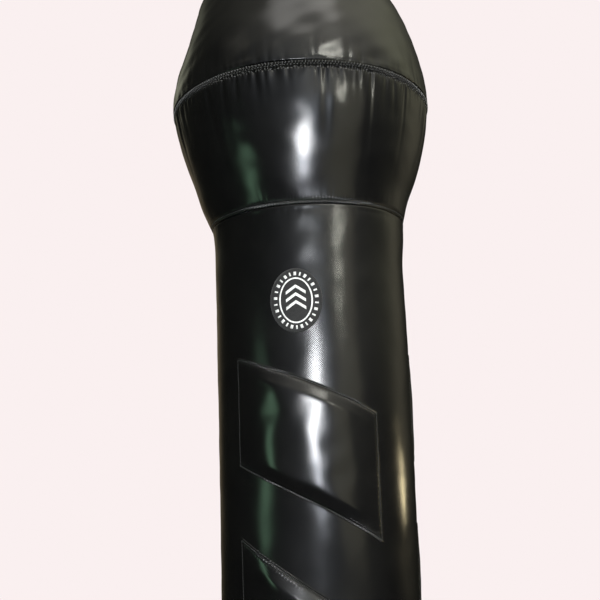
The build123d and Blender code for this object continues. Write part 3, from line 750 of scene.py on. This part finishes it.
class Pad:
    """One strike pad: a skin sewn flat round its edge, with foam under it."""
    cols, rows = 150, 130

    def __init__(self, number):
        self.number = number
        self.middle, self.half, top_l, top_r, low_l, low_r = pad_frame(number)
        self.half_width = self.half * COLUMN_R
        self.top, self.low = (top_l, top_r), (low_l, low_r)
        self.lean_top = math.cos(math.atan((top_r - top_l) / (2 * self.half_width)))
        self.lean_low = math.cos(math.atan((low_r - low_l) / (2 * self.half_width)))
        u = np.linspace(-1, 1, self.cols)[None, :]
        # rows crowd towards the slanted edges, where the band and the stitches are
        t = np.linspace(-1, 1, self.rows)[:, None]
        v = 0.5 + 0.5 * (0.62 * t + 0.38 * np.sin(t * math.pi / 2))
        self.theta = self.middle + self.half * u + 0 * v
        high, low = self.edge(self.top, u), self.edge(self.low, u)
        self.h = low + (high - low) * v
        self.across = self.half_width * u
        self.from_top = (high - self.h) * self.lean_top
        self.from_low = (self.h - low) * self.lean_low
        from_sides = self.half_width - np.abs(self.across)
        self.inside = np.minimum(np.minimum(self.from_top, self.from_low), from_sides)
        self.base = column_radius(self.theta, self.h)
        self.line_theta, self.line_h = self.stitch_line()
        self.line_x = (self.line_theta - self.middle) * COLUMN_R
        x, h = self.line_x, self.line_h
        self.line_steps = np.hypot(np.diff(x, append=x[0]), np.diff(h, append=h[0]))
        self.stitch_count = int(np.sum(self.line_steps) / STITCH_PITCH)

    @staticmethod
    def edge(ends, u):
        """Height of a slanted edge; it bows a little upwards."""
        return ends[0] + (ends[1] - ends[0]) * (u + 1) / 2 + PAD_BOW * (1 - u ** 2)

    def stitch_line(self):
        """Angle and height along the closed stitch line."""
        inset = 1 - PAD_HEM / self.half_width
        u = np.linspace(-inset, inset, 200)
        high = self.edge(self.top, u) - PAD_HEM / self.lean_top
        low = self.edge(self.low, u) + PAD_HEM / self.lean_low
        side = np.linspace(0, 1, 60)
        edge_u = np.concatenate([u, np.full(60, inset), u[::-1], np.full(60, -inset)])
        edge_h = np.concatenate([high, high[-1] + (low[-1] - high[-1]) * side, low[::-1],
                                 low[0] + (high[0] - low[0]) * side])
        return self.middle + self.half * edge_u, edge_h

    def swell(self):
        """How far the face stands off the column before the cloth settles."""
        def band(d):
            t = np.clip((d - PAD_HEM) / (PAD_BAND - PAD_HEM), 0, None)
            return np.where(t < 0.85, t, 0.85 + 0.15 * (1 - np.exp(-(np.maximum(t, 0.85) - 0.85) / 0.15)))

        def ease(d):
            return 0.5 - 0.5 * np.cos(np.clip((d - PAD_HEM) / PAD_EASE, 0, 1) * math.pi)

        side = ease(self.half_width + self.across) * ease(self.half_width - self.across)
        return PAD_BULGE * band(self.from_top) * band(self.from_low) * side

    def settled(self, rise):
        """The face after a cloth simulation with air pressure behind it, as a new height field."""
        step = 3
        theta, h = self.theta[::step, ::step], self.h[::step, ::step]
        base, start = self.base[::step, ::step], rise[::step, ::step] * CLOTH_START
        rows, cols = theta.shape
        front = place(theta, base + start + CLOTH_LIFT, h)
        back = place(theta, base - 0.004, h)
        sheet = slab("pad_cloth", front, back)
        held = sheet.vertex_groups.new(name="held")
        pinned = np.flatnonzero(self.inside[::step, ::step].ravel() < PAD_HEM + 0.002).tolist()
        held.add(pinned + list(range(rows * cols, 2 * rows * cols)), 1.0, "REPLACE")
        cloth = sheet.modifiers.new("cloth", "CLOTH").settings
        cloth.vertex_group_mass = "held"
        cloth.use_pressure = True
        cloth.uniform_pressure_force = 4.0
        cloth.tension_stiffness = cloth.compression_stiffness = 30.0
        cloth.shear_stiffness = 12.0
        cloth.bending_stiffness = 1.5
        cloth.quality = 6
        cloth.effector_weights.gravity = 0.0
        scene = bpy.context.scene
        for frame_number in range(1, CLOTH_FRAMES + 1):
            scene.frame_set(frame_number)
        shape = sheet.evaluated_get(bpy.context.evaluated_depsgraph_get())
        co = np.array([v.co for v in shape.data.vertices])[:rows * cols].reshape(rows, cols, 3)
        scene.frame_set(1)
        discard(sheet)
        moved = np.hypot(co[..., 0], co[..., 1]) - base - CLOTH_LIFT
        moved = np.clip(moved - start, *CLOTH_MOVES)
        return np.maximum(rise * CLOTH_START + finer(moved, self.theta.shape, step), 0.0)

    def build(self, settle):
        rise = self.swell()
        if settle is not None:
            rise = settle(self, rise)
        puckers = lumps(self.theta, self.h, 60 + self.number, 0.0003, around=(9, 22), tall=(0.05, 0.16))
        rise = np.clip(rise + puckers * np.clip(rise / 0.006, 0, 1), 0, None)
        hem = PAD_EDGE * np.clip(self.inside / 0.0008, 0, 1) ** 0.5
        rise = rise + hem + bump_at(self.inside - PAD_HEM, 0.0011, -0.0005)
        self.build_cover(rise)
        self.build_core(rise)
        path = place(self.line_theta, column_radius(self.line_theta, self.line_h) + PAD_EDGE, self.line_h)
        row = stitches(f"pad_stitching_{self.number}", [path], THREAD_R * 0.8, closed=True,
                       count=self.stitch_count)
        finish_piece(row, BLACK_THREAD)

    def build_cover(self, rise):
        front = place(self.theta, self.base + rise, self.h)
        back = place(self.theta, self.base + np.maximum(rise - SKIN, 0.0) - 0.0002, self.h)
        uv = np.stack([self.theta * COLUMN_R, self.h], -1)
        cover = slab(f"pad_skin_{self.number}", front, back, uv)
        x = (self.theta - self.middle) * COLUMN_R
        step = self.line_steps
        run = np.concatenate([[0], np.cumsum(step)[:-1]]) / step.sum() * self.stitch_count
        away = np.full(x.shape, 1.0)
        nearest = np.zeros(x.shape)
        for a, b, r in zip(self.line_x, self.line_h, run):
            d = np.hypot(x - a, self.h - b)
            closer = d < away
            away = np.where(closer, d, away)
            nearest = np.where(closer, r, nearest)
        note_stitches(cover, away, nearest, np.full(x.shape, 0.4))
        finish_piece(cover, PAD_PVC, [f"pad_cover_{self.number}"])

    def build_core(self, rise):
        every = (slice(3, -3, 4), slice(3, -3, 4))
        theta, h = self.theta[every], self.h[every]
        base = self.base[every]
        top = base + np.maximum(rise[every] - SKIN - 0.0005, 0.0004)
        core = slab(f"pad_core_{self.number}", place(theta, top, h), place(theta, base + 0.0001, h))
        finish_piece(core, FOAM_MAT, [f"pad_foam_{self.number}"])


def finer(coarse, shape, step):
    """A coarse grid of heights, smoothed a little and spread onto the full grid."""
    for _ in range(2):
        wide = np.pad(coarse, 1, mode="edge")
        coarse = (4 * coarse + wide[:-2, 1:-1] + wide[2:, 1:-1] + wide[1:-1, :-2] + wide[1:-1, 2:]) / 8
    rows, cols = coarse.shape
    y = np.minimum(np.arange(shape[0]) / step, rows - 1)
    x = np.minimum(np.arange(shape[1]) / step, cols - 1)
    by_row = np.stack([np.interp(x, np.arange(cols), line) for line in coarse])
    return np.stack([np.interp(y, np.arange(rows), by_row[:, k]) for k in range(shape[1])], -1)


def build_pads():
    """The cloth settles once for each row; the pads round the bag repeat it."""
    for row in range(PAD_ROWS):
        kept = {}

        def settle(pad, rise):
            if "rise" not in kept:
                kept["rise"] = pad.settled(rise)
            return kept["rise"]

        for column in range(len(PAD_TURNS)):
            Pad(row * len(PAD_TURNS) + column + 1).build(settle)


# ---------------------------------------------------------------- badge
class Badge:
    """The oval badge: a woven patch with a sewn rim, and raised white marks of its own design."""

    def __init__(self):
        low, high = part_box("badge")
        co = np.array([v.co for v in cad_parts["badge"].data.vertices])
        theta = np.arctan2(co[:, 0], -co[:, 1])
        self.theta = (theta.min() + theta.max()) / 2
        self.half_w = (theta.max() - theta.min()) / 2 * COLUMN_R
        self.h = (low.z + high.z) / 2 - WAIST
        self.half_h = (high.z - low.z) / 2

    def on(self, x, y, lift):
        """Points of the badge's own plane, laid on the column."""
        theta = self.theta + np.asarray(x) / COLUMN_R
        h = self.h + np.asarray(y)
        return place(theta, column_radius(theta, h) + lift, h)

    def build_field(self):
        rho = np.linspace(0.0, 1.0, 24)[:, None]
        phi = np.linspace(0, 2 * math.pi, 97)[None, :]
        x, y = self.half_w * rho * np.cos(phi), self.half_h * rho * np.sin(phi)
        rounding = 0.25 + 0.75 * np.clip((1 - rho) / 0.05, 0, 1) ** 0.5
        front, back = self.on(x, y, 0.0012 * rounding), self.on(x, y, -0.0001 * rounding)
        field = slab("badge_field", front[:, ::-1], back[:, ::-1], np.stack([x, y], -1)[:, ::-1])
        weld(field)
        finish_piece(field, BADGE_CLOTH, ["badge"])

    def band(self, left, right, lift=0.00135, thick=0.0004):
        """A flat mark between two lines of (x, y) points."""
        left, right = np.array(left), np.array(right)
        across = np.linspace(0, 1, 3)[:, None, None]
        xy = left[None] * (1 - across) + right[None] * across
        front = self.on(xy[..., 0], xy[..., 1], lift)
        back = self.on(xy[..., 0], xy[..., 1], lift - thick)
        return front, back

    def marks(self):
        """An inner ring, ticks round the rim and three chevrons."""
        phi = np.linspace(0, 2 * math.pi, 97)
        ring = np.stack([np.cos(phi), np.sin(phi)], -1)
        bands = [self.band(ring * (0.0255, 0.0355), ring * (0.0280, 0.0380))]
        ticks, tick_a, tick_b, tick_half = 26, 0.0345, 0.0445, 0.0030
        for k in range(ticks):
            at = 2 * math.pi * (k + 0.5) / ticks
            wide = (0.0022, 0.0013)[k % 2]
            middle = np.array([tick_a * math.cos(at), tick_b * math.sin(at)])
            normal = unit(np.array([math.cos(at) / tick_a, math.sin(at) / tick_b]))
            side = np.array([-normal[1], normal[0]])
            ends = [middle - normal * tick_half, middle + normal * tick_half]
            bands.append(self.band([e + side * wide for e in ends], [e - side * wide for e in ends]))
        half, tall, thick, lowest, apart = 0.0165, 0.011, 0.0052, -0.016, 0.013
        for k in range(3):
            x = np.linspace(-half, half, 25)
            line = np.stack([x, lowest + apart * k + tall - tall * np.abs(x) / half], -1)
            bands.append(self.band(line + (0, thick), line))
        return bands

    def build(self):
        self.build_field()
        pieces = [slab("mark", f[:, ::-1], b[:, ::-1]) for f, b in self.marks()]
        ink = joined("badge_marks", pieces)
        finish_piece(ink, BADGE_INK)
        phi, inset = np.linspace(0, 2 * math.pi, 240), 0.0022
        rim = self.on((self.half_w - inset) * np.cos(phi), (self.half_h - inset) * np.sin(phi), 0.0013)
        row = stitches("badge_stitching", [rim[:-1]], 0.0004, 0.0030, 0.0024, closed=True)
        finish_piece(row, BLACK_THREAD)


@contextmanager
def edited(obj):
    """A mesh to edit; its faces all look outwards again afterwards."""
    bm = bmesh.new()
    bm.from_mesh(obj.data)
    yield bm
    bmesh.ops.recalc_face_normals(bm, faces=bm.faces)
    bm.to_mesh(obj.data)
    bm.free()
    obj.data.update()


def weld(obj, distance=0.00002):
    """Joins points that lie together, as where a round grid closes."""
    with edited(obj) as bm:
        bmesh.ops.remove_doubles(bm, verts=bm.verts, dist=distance)


def discard(obj):
    data = obj.data
    bpy.data.objects.remove(obj)
    bpy.data.meshes.remove(data)


def joined(name, objects):
    """One object from several, each a closed solid."""
    verts, faces = [], []
    for obj in objects:
        start = len(verts)
        verts += [tuple(v.co) for v in obj.data.vertices]
        faces += [[i + start for i in p.vertices] for p in obj.data.polygons]
        discard(obj)
    made = make_object(name, verts, faces)
    weld(made)
    return made


build_dome()
build_bulb()
build_column()
seam_stitches()
hem_stitches()
build_filling()
build_pads()
Badge().build()


# ---------------------------------------------------------------- ends of the bag
def turned(name, profile, cols=192, around=None, flat=False):
    """A closed ring from a loop of (r, h) points; around adds the bag's own radius to each r."""
    theta = angles(cols)[None, :]
    r = np.array([p[0] for p in profile])[:, None]
    h = np.array([p[1] for p in profile])[:, None]
    if around is not None:
        r = r + around(theta)
    points = place(theta, r, h)
    faces, ci, cj = grid_faces(len(profile), cols, True, True)
    if flat:
        uv = points.reshape(-1, 3)[faces][..., :2]
    else:
        run = running_length(np.stack([r[:, 0], h[:, 0]], -1))
        uv = np.stack([cj * (2 * math.pi * COLUMN_R / cols), run[ci % len(profile)]], -1)
    return make_object(name, points, faces, uv)


def ring_stitches(name, radius, height, cols=900, around=None):
    theta = angles(cols)
    r = radius + (around(theta) if around is not None else 0 * theta)
    row = stitches(name, [place(theta, r, height)], THREAD_R, closed=True)
    finish_piece(row, BLACK_THREAD)


def disc_radii(edge, rings, rim, rim_rings):
    """Rings of a disc: a tiny hole in the middle, even rings, and closer ones near the rim."""
    even = np.linspace(0.01, edge - rim[0], rings)
    return np.concatenate([[0.0003, 0.0012], even, np.linspace(edge - rim[1], edge, rim_rings)])


def build_disc(name, node, radii, level, crown):
    """A thin disc whose middle stands higher than its edge by crown."""
    over = [(r, level + crown * (1 - (r / radii[-1]) ** 2)) for r in radii[::-1]]
    under = [(r, h - DISC_THICK) for r, h in over[::-1]]
    return finish_piece(turned(name, over + under, flat=True), PVC, [node])


def build_binding(name, node, fold, radius, level, cols, around=None):
    """A strip as wide as half its loop, folded over an edge, once round the bag. Where around gives the
    bag's own radius, the fold counts from there, and otherwise from the radius."""
    out = 0 if around is not None else radius
    binding = turned(name, [(out + r, level + h) for r, h in fold], cols, around)
    finish_piece(binding, PVC, [node])
    return binding


def build_base():
    """Base disc, pressed down a little by the filling, and the binding folded over its edge."""
    edge = COLUMN_R - 0.004
    radii = disc_radii(edge, 14, (0.02, 0.015), 4)
    disc = build_disc("base_disc", "bottom_panel", radii, BASE + 0.0008, -0.004)

    def around(theta):
        return column_radius(theta, BASE + 0.012)

    fold = [(0.0014, 0.0235), (0.0018, 0.0215), (0.0016, 0.0190), (0.0018, 0.0150), (0.0018, 0.0030),
            (0.0008, -0.0018), (-0.0030, -0.0036), (-0.0110, -0.0046), (-0.0135, -0.0044), (-0.0135, -0.0032),
            (-0.0030, -0.0024), (0.0000, -0.0004), (0.0003, 0.0040), (0.0003, 0.0235)]
    binding = build_binding("base_binding", "bottom_binding", fold, COLUMN_R, BASE, 360, around)
    ring_stitches("base_stitching", 0.0019, BASE + 0.0190, around=around)


def build_top():
    """Top disc and the binding folded over it and the dome's edge."""
    edge = CAP_R - 0.002
    radii = disc_radii(edge, 10, (0.01, 0.008), 3)
    disc = build_disc("top_disc", "top_cap", radii, TOP - 0.0002, 0.0015)
    fold = [(-0.0145, 0.0004), (-0.0145, 0.0016), (-0.0100, 0.0019), (-0.0085, 0.0016), (-0.0070, 0.0019),
            (-0.0020, 0.0019), (0.0012, 0.0010), (0.0060, -0.0040), (0.0107, -0.0103), (0.0103, -0.0112),
            (0.0092, -0.0108), (0.0050, -0.0058), (-0.0002, -0.0003), (-0.0020, 0.0006)]
    build_binding("top_binding", "cap_binding", fold, CAP_R, TOP, 240)
    ring_stitches("top_stitching", CAP_R - 0.0085, TOP + 0.0019, 600)


# ---------------------------------------------------------------- zip at the back
def at_back(x, h, lift):
    """Points on the back of the column; x counts towards +X."""
    theta = math.pi - np.asarray(x) / COLUMN_R
    return place(theta, column_radius(theta, h) + lift, h)


def build_tapes():
    low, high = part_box("zipper_tape")
    inner_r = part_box("zipper_coils")[0].y - 0.0001
    h = np.linspace(low.z, high.z, 90)[:, None] - WAIST
    tapes = []
    for side in (-1, 1):
        x = side * np.linspace(0.0002, 0.015, 14)[None, :]
        theta = math.pi - x / COLUMN_R
        under_skin = column_radius(theta, h) - SKIN - 0.0003
        rise = np.clip((0.0060 - np.abs(x)) / 0.0025, 0, 1)
        r = under_skin + (inner_r - under_skin) * rise
        outer, inner = place(theta, r, h), place(theta, r - 0.0009, h)
        if side > 0:
            outer, inner = outer[:, ::-1], inner[:, ::-1]
        tapes.append(slab("tape", outer, inner))
    tape = joined("zip_tapes", tapes)
    finish_piece(tape, ZIP_TAPE, ["zipper_tape"])


def build_coils():
    """Two moulded coils whose turns mesh."""
    low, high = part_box("zipper_coils")
    pitch, thick = 0.0016, 0.00042
    turns = int((high.z - low.z) / pitch)
    reach, tall = (high.x - low.x) / 4 - thick, (high.y - low.y) / 2 - thick
    steps_per_turn, sides = 10, 5
    coils = []
    for side in (-1, 1):
        t = np.arange(turns * steps_per_turn + 1) / steps_per_turn
        turn = 2 * math.pi * t
        x = side * (reach + thick + 0.00005) + reach * np.cos(turn)
        y = (low.y + high.y) / 2 + tall * np.sin(turn)
        z = low.z + thick + t * pitch + (0.25 * pitch if side > 0 else -0.25 * pitch + 0.0004)
        centre = np.stack([x, y, z], -1)
        along = unit(np.gradient(centre, axis=0))
        out = np.stack([np.cos(turn), np.sin(turn), 0 * turn], -1)
        up = np.cross(along, out)
        phi = 2 * math.pi * np.arange(sides) / sides
        ring = centre[:, None] + thick * (np.cos(phi)[None, :, None] * out[:, None]
                                          + np.sin(phi)[None, :, None] * up[:, None])
        faces, _, _ = grid_faces(len(t), sides, False, True)
        faces = faces[:, ::-1].tolist() + [end[::-1] for end in end_faces(len(t), sides)]
        coils.append(make_object("coil", ring, faces))
    finish_piece(joined("zip_coils", coils), COIL, ["zipper_coils"])


def build_end_patches():
    """Sewn patches over both ends of the zip's slot."""
    half, patches, paths = 0.022, [], []
    for low, high in ((SLOT_LOW - 0.028, SLOT_LOW + 0.0002), (SLOT_HIGH - 0.0002, SLOT_HIGH + 0.025)):
        x = np.linspace(half, -half, 23)[None, :]
        h = np.linspace(low, high, 15)[:, None]
        nearest = np.minimum(half - np.abs(x), np.minimum(h - low, high - h))
        lift = 0.0004 + 0.0010 * np.clip(nearest / 0.0015, 0, 1) + bump_at(nearest - 0.004, 0.0015, -0.0003)
        patches.append(slab("patch", at_back(x, h, lift), at_back(x, h, 0.0001)))
        a, b, c = half - 0.004, low + 0.004, high - 0.004
        side = np.linspace(-1, 1, 20)
        loop_x = np.concatenate([a * side, np.full(20, a), -a * side, np.full(20, -a)])
        loop_h = np.concatenate([np.full(20, b), (b + c) / 2 + (c - b) / 2 * side, np.full(20, c),
                                 (b + c) / 2 - (c - b) / 2 * side])
        paths.append(at_back(loop_x, loop_h, 0.0015))
    both = finish_piece(joined("zip_end_patches", patches), PVC, ["zipper_end_patches"])
    row = stitches("end_patch_stitching", paths, closed=True)
    finish_piece(row, BLACK_THREAD)


def build_slot_stitches():
    """Stitching that holds the tapes, down both sides of the slot."""
    h = np.linspace(SLOT_LOW + 0.004, SLOT_HIGH - 0.004, 200)
    paths = [at_back(np.full(200, side * 0.0105), h, 0.0003) for side in (-1, 1)]
    finish_piece(stitches("slot_stitching", paths), BLACK_THREAD)


# ---------------------------------------------------------------- webbing tabs
TAB_AZIMUTHS = (45, 135, 225, 315)                  # from +X, as the chain legs
WEB_HALF_W = 0.015
WEB_HALF_T = 0.0012
BAR_R = 0.09973                                      # D-ring bar from the bag's axis
BAR_RISE = 0.0085                                    # and above the dome's top edge
LOOP_R = 0.0045                                      # middle of the webbing round the bar
TAB_REACH = 0.066


def rounded(points, times=2):
    """A polyline with its corners cut, twice."""
    points = np.asarray(points)
    for _ in range(times):
        a, b = points[:-1], points[1:]
        cut = np.stack([0.75 * a + 0.25 * b, 0.25 * a + 0.75 * b], 1).reshape(-1, 2)
        points = np.concatenate([points[:1], cut, points[-1:]])
    return points


def tab_path():
    """Middle line of the webbing as (r, h): up the dome, round the bar and down again over itself."""
    h = np.linspace(TOP - TAB_REACH, TOP - 0.001, 12)
    r = mean_radius(h)
    slope = (mean_radius(h + 0.002) - mean_radius(h - 0.002)) / (np.minimum(h + 0.002, TOP) - (h - 0.002))
    n_r, n_h = 1 / np.hypot(1, slope), -slope / np.hypot(1, slope)

    def layer(lift):
        return np.stack([r + lift * n_r, h + lift * n_h], -1)

    turn = np.radians(np.linspace(200, -25, 15))
    loop = np.stack([BAR_R + LOOP_R * np.cos(turn), TOP + BAR_RISE + LOOP_R * np.sin(turn)], -1)
    return rounded(np.concatenate([layer(0.00255), loop, layer(0.00500)[::-1]]))


def beside_azimuth(azimuth, r, y, z):
    """Points at distance r from the axis towards an azimuth, and y beside it."""
    a = math.radians(azimuth)
    return np.stack([r * math.cos(a) - y * math.sin(a), r * math.sin(a) + y * math.cos(a), z], -1)


def tab_points(path, azimuth, y, lift):
    """Points beside the path; on the dome the webbing bends round it, at the bar it is flat."""
    ahead = unit(np.gradient(path, axis=0))
    n_r, n_h = -ahead[:, 1], ahead[:, 0]
    r = path[:, :1] + n_r[:, None] * lift
    h = path[:, 1:] + n_h[:, None] * lift
    cling = np.clip((TOP + 0.002 - path[:, 1:]) / 0.012, 0, 1)
    return beside_azimuth(azimuth, r - cling * y ** 2 / (2 * np.maximum(r, 0.05)), y, h + WAIST + 0 * y)


def web_section():
    """Outline of the webbing across its width, with rounded edges: (beside, lift)."""
    w, t = WEB_HALF_W, WEB_HALF_T
    flat = np.linspace(-w + t, w - t, 9)
    edge = np.array([w - 0.3 * t, w, w - 0.3 * t])
    turn = np.array([0.7 * t, 0, -0.7 * t])
    beside = np.concatenate([flat, edge, flat[::-1], -edge])
    return beside, np.concatenate([np.full(9, t), turn, np.full(9, -t), -turn])


def build_tabs():
    path = tab_path()
    run = running_length(path)
    beside, lift = web_section()
    back = path[len(path) // 2:]
    for number, azimuth in enumerate(TAB_AZIMUTHS, start=1):
        points = tab_points(path, azimuth, beside[None, :], lift[None, :])
        rows, cols = points.shape[:2]
        faces, ci, cj = grid_faces(rows, cols, False, True)
        uv = np.stack([beside[cj % cols], run[ci]], -1)
        tab = make_object(f"tab_{number}", points, faces, uv)
        close_ends(tab, rows, cols)
        finish_piece(tab, WEBBING, [f"strap_tab_{number}"])
        row = box_and_cross(f"tab_stitching_{number}", back, azimuth)
        finish_piece(row, THREAD)


def close_ends(obj, rows, cols):
    """Fills both ends of a tube made from a grid."""
    with edited(obj) as bm:
        bm.verts.ensure_lookup_table()
        for first in (0, (rows - 1) * cols):
            bm.faces.new([bm.verts[first + k] for k in range(cols)])


def box_and_cross(name, back, azimuth):
    """A sewn box with a cross in it, and a bar near the tab's lower end, on the tab's outer layer."""
    run = running_length(back)
    first, last, half = 0.022, 0.044, 0.0115
    end = run[-1] - 0.006
    lines = [((first, -half), (first, half)), ((last, half), (last, -half)), ((first, half), (last, half)),
             ((last, -half), (first, -half)), ((first, -half), (last, half)), ((first, half), (last, -half)),
             ((end, -half), (end, half))]
    paths = []
    for (s0, y0), (s1, y1) in lines:
        share = np.linspace(0, 1, 24)
        at, y = s0 + (s1 - s0) * share, y0 + (y1 - y0) * share
        line = along_path(at, run, back)
        ahead = unit(along_path(at + 0.001, run, back) - along_path(at - 0.001, run, back))
        outer = line + np.stack([-ahead[:, 1], ahead[:, 0]], -1) * (WEB_HALF_T + 0.0001)
        paths.append(beside_azimuth(azimuth, outer[:, 0] - y ** 2 / (2 * line[:, 0]), y, outer[:, 1] + WAIST))
    return stitches(name, paths, THREAD_R * 0.9, 0.0032, 0.0025)


build_base()
build_top()
build_tapes()
build_coils()
build_end_patches()
build_slot_stitches()
build_tabs()


# ---------------------------------------------------------------- CAD nodes that stay
def dress(node, material):
    """Gives a CAD node its better material."""
    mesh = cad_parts[node].data
    if not mesh.materials:
        mesh.materials.append(material)
    for k in range(len(mesh.materials)):
        mesh.materials[k] = material


LEGS = range(1, 5)
ZINC_NODES = ["swivel_eye_cap", "swivel_barrel", "swivel_stem", "stem_nut", "carabiner_body", "gate",
              "suspension_ring", "tab_rivets", "top_hoop"]
ZINC_NODES += [f"chain_leg_{k}" for k in LEGS] + [f"d_ring_{k}" for k in LEGS]
STEEL_NODES = ["bearing_lower_race", "bearing_upper_race", "bearing_balls", "gate_pin"]
ENAMEL_NODES = ["zipper_stops", "zip_slider", "zip_pull"]
for kept_nodes, kept_material in ((ZINC_NODES, ZINC), (STEEL_NODES, STEEL), (ENAMEL_NODES, ENAMEL)):
    for kept_node in kept_nodes:
        dress(kept_node, kept_material)


# ---------------------------------------------------------------- surroundings
def soft_box(name, turn_deg, distance, height, width, tall, radiance, color=(1, 1, 1), rise=0.0):
    """An upright soft light. Turn counts round the bag from the camera's side, height from the waist seam,
    rise tips it to look down at the bag."""
    data = bpy.data.lights.new(name, "AREA")
    data.shape = "RECTANGLE"
    data.size, data.size_y = width, tall
    data.energy = radiance * math.pi * width * tall
    data.color = color
    light = bpy.data.objects.new(name, data)
    add_to_scene(light)
    a = math.radians(turn_deg) + CAMERA_TURN
    out = Vector((math.sin(a), -math.cos(a), math.tan(math.radians(rise)))).normalized()
    light.location = Vector((math.sin(a) * distance, -math.cos(a) * distance, WAIST + height))
    light.rotation_mode = "QUATERNION"
    light.rotation_quaternion = out.to_track_quat("Z", "Y")
    light.visible_camera = False


def direction(turn_deg, rise_deg):
    a, e = math.radians(turn_deg) + CAMERA_TURN, math.radians(rise_deg)
    return (math.sin(a) * math.cos(e), -math.cos(a) * math.cos(e), math.sin(e))


def make_world():
    """Pale for the eye. Reflections see a dim room: a soft ceiling, brighter over the right."""
    world = bpy.data.worlds.new("world")
    bpy.context.scene.world = world
    world.use_nodes = True
    tree = world.node_tree
    tree.nodes.clear()
    ray = add_node(tree, "ShaderNodeTexCoord").outputs["Generated"]

    def glow(turn_deg, rise_deg, power, color):
        """Soft light from one direction; a higher power makes it smaller."""
        towards = {0: ray, 1: direction(turn_deg, rise_deg)}
        dot = add_node(tree, "ShaderNodeVectorMath", towards, operation="DOT_PRODUCT").outputs["Value"]
        half = add_node(tree, "ShaderNodeMath", {0: dot, 1: 0.5, 2: 0.5}, operation="MULTIPLY_ADD").outputs[0]
        sharp = add_node(tree, "ShaderNodeMath", {0: half, 1: power}, operation="POWER").outputs[0]
        tinted = {0: color, "Scale": sharp}
        return add_node(tree, "ShaderNodeVectorMath", tinted, operation="SCALE").outputs[0]

    total = None
    for turn_deg, rise_deg, power, color in (
        (20, 90, 1.5, (0.05, 0.05, 0.04)),
        (46, 57, 9.0, (1.20, 1.16, 0.98)),
        (100, 35, 26.0, (0.45, 0.46, 0.28)),
        (5, 18, 9.0, (0.38, 0.41, 0.46)),
        (118, 8, 45.0, (0.32, 0.29, 0.21)),
        (-143, 28, 160.0, (0.65, 0.66, 0.50)),
        (-60, 42, 160.0, (0.40, 0.38, 0.32)),
        (-160, 5, 60.0, (0.24, 0.19, 0.12)),
    ):
        one = glow(turn_deg, rise_deg, power, color)
        if total is not None:
            one = add_node(tree, "ShaderNodeVectorMath", {0: total, 1: one}, operation="ADD").outputs[0]
        total = one

    camera_ray = add_node(tree, "ShaderNodeLightPath").outputs["Is Camera Ray"]
    room = add_node(tree, "ShaderNodeBackground", {0: total}).outputs[0]
    seen = add_node(tree, "ShaderNodeBackground", {0: (0.956, 0.871, 0.871, 1)}).outputs[0]
    mix = add_node(tree, "ShaderNodeMixShader", {0: camera_ray, 1: room, 2: seen}).outputs[0]
    add_node(tree, "ShaderNodeOutputWorld", {0: mix})


def make_floor():
    """A plain pale floor well below the bag, fading out at its edge."""
    radius, rings, around = 1.9, 24, 96
    rho = np.linspace(0.02, 1, rings)[:, None] * radius
    faces, _, _ = grid_faces(rings, around, False, True)
    points = place(angles(around)[None, :], rho, BASE - 0.12)
    floor = make_object("floor", points, faces.tolist() + end_faces(rings, around)[:1])
    s = Shader("floor", (0.80, 0.76, 0.76), 0.8)
    flat = s.node("ShaderNodeMapping", {"Scale": (1, 1, 0), "Vector": s.where()}).outputs["Vector"]
    middle_away = s.node("ShaderNodeVectorMath", {0: flat}, operation="LENGTH").outputs["Value"]
    fade = s.spread(middle_away, 0.0, 1.0, 0.7, 1.85)
    clear = s.node("ShaderNodeBsdfTransparent").outputs[0]
    mix = s.node("ShaderNodeMixShader", {0: fade, 1: s.bsdf.outputs[0], 2: clear}).outputs[0]
    s.link(mix, s.tree.nodes["Material Output"].inputs["Surface"])
    floor.data.materials.append(s.mat)
    floor.visible_glossy = False


make_world()
make_floor()
# name, turn, distance, height, width, its own height, radiance, colour
soft_box("key", 0.8, 1.8, -0.29, 0.29, 0.38, 62, (0.97, 0.98, 1.0))
soft_box("key_low", 1, 1.8, -0.55, 0.20, 0.16, 36, (0.82, 0.87, 1.0))
soft_box("halo", 4, 1.9, -0.25, 0.75, 0.8, 1.8, (0.72, 0.84, 1.0))
soft_box("pale_band", 20, 1.9, 0.50, 1.3, 0.5, 0.9, (1.0, 0.98, 0.86))
soft_box("olive", 37, 1.9, -0.25, 0.9, 1.5, 0.6, (1.0, 0.95, 0.68))
soft_box("pale_patch", 33, 1.9, 0.30, 0.13, 0.12, 48, (1.0, 1.0, 0.88))
soft_box("crescent", 27, 1.9, 1.42, 0.55, 0.14, 26, (1.0, 1.0, 0.9), rise=25)
soft_box("ceiling", 8, 1.5, 3.2, 2.4, 1.4, 2.0, (1.0, 0.98, 0.95), rise=75)
soft_box("green", -58, 1.8, -0.47, 0.34, 0.60, 2.5, (0.54, 1.0, 0.64))
soft_box("golden", 108, 1.8, -0.64, 0.17, 0.13, 28.0, (1.0, 0.84, 0.50))
soft_box("behind", 180, 2.6, -0.25, 0.9, 1.7, 4.5, (1.0, 0.98, 0.95))

bpy.context.scene.view_settings.view_transform = "Standard"
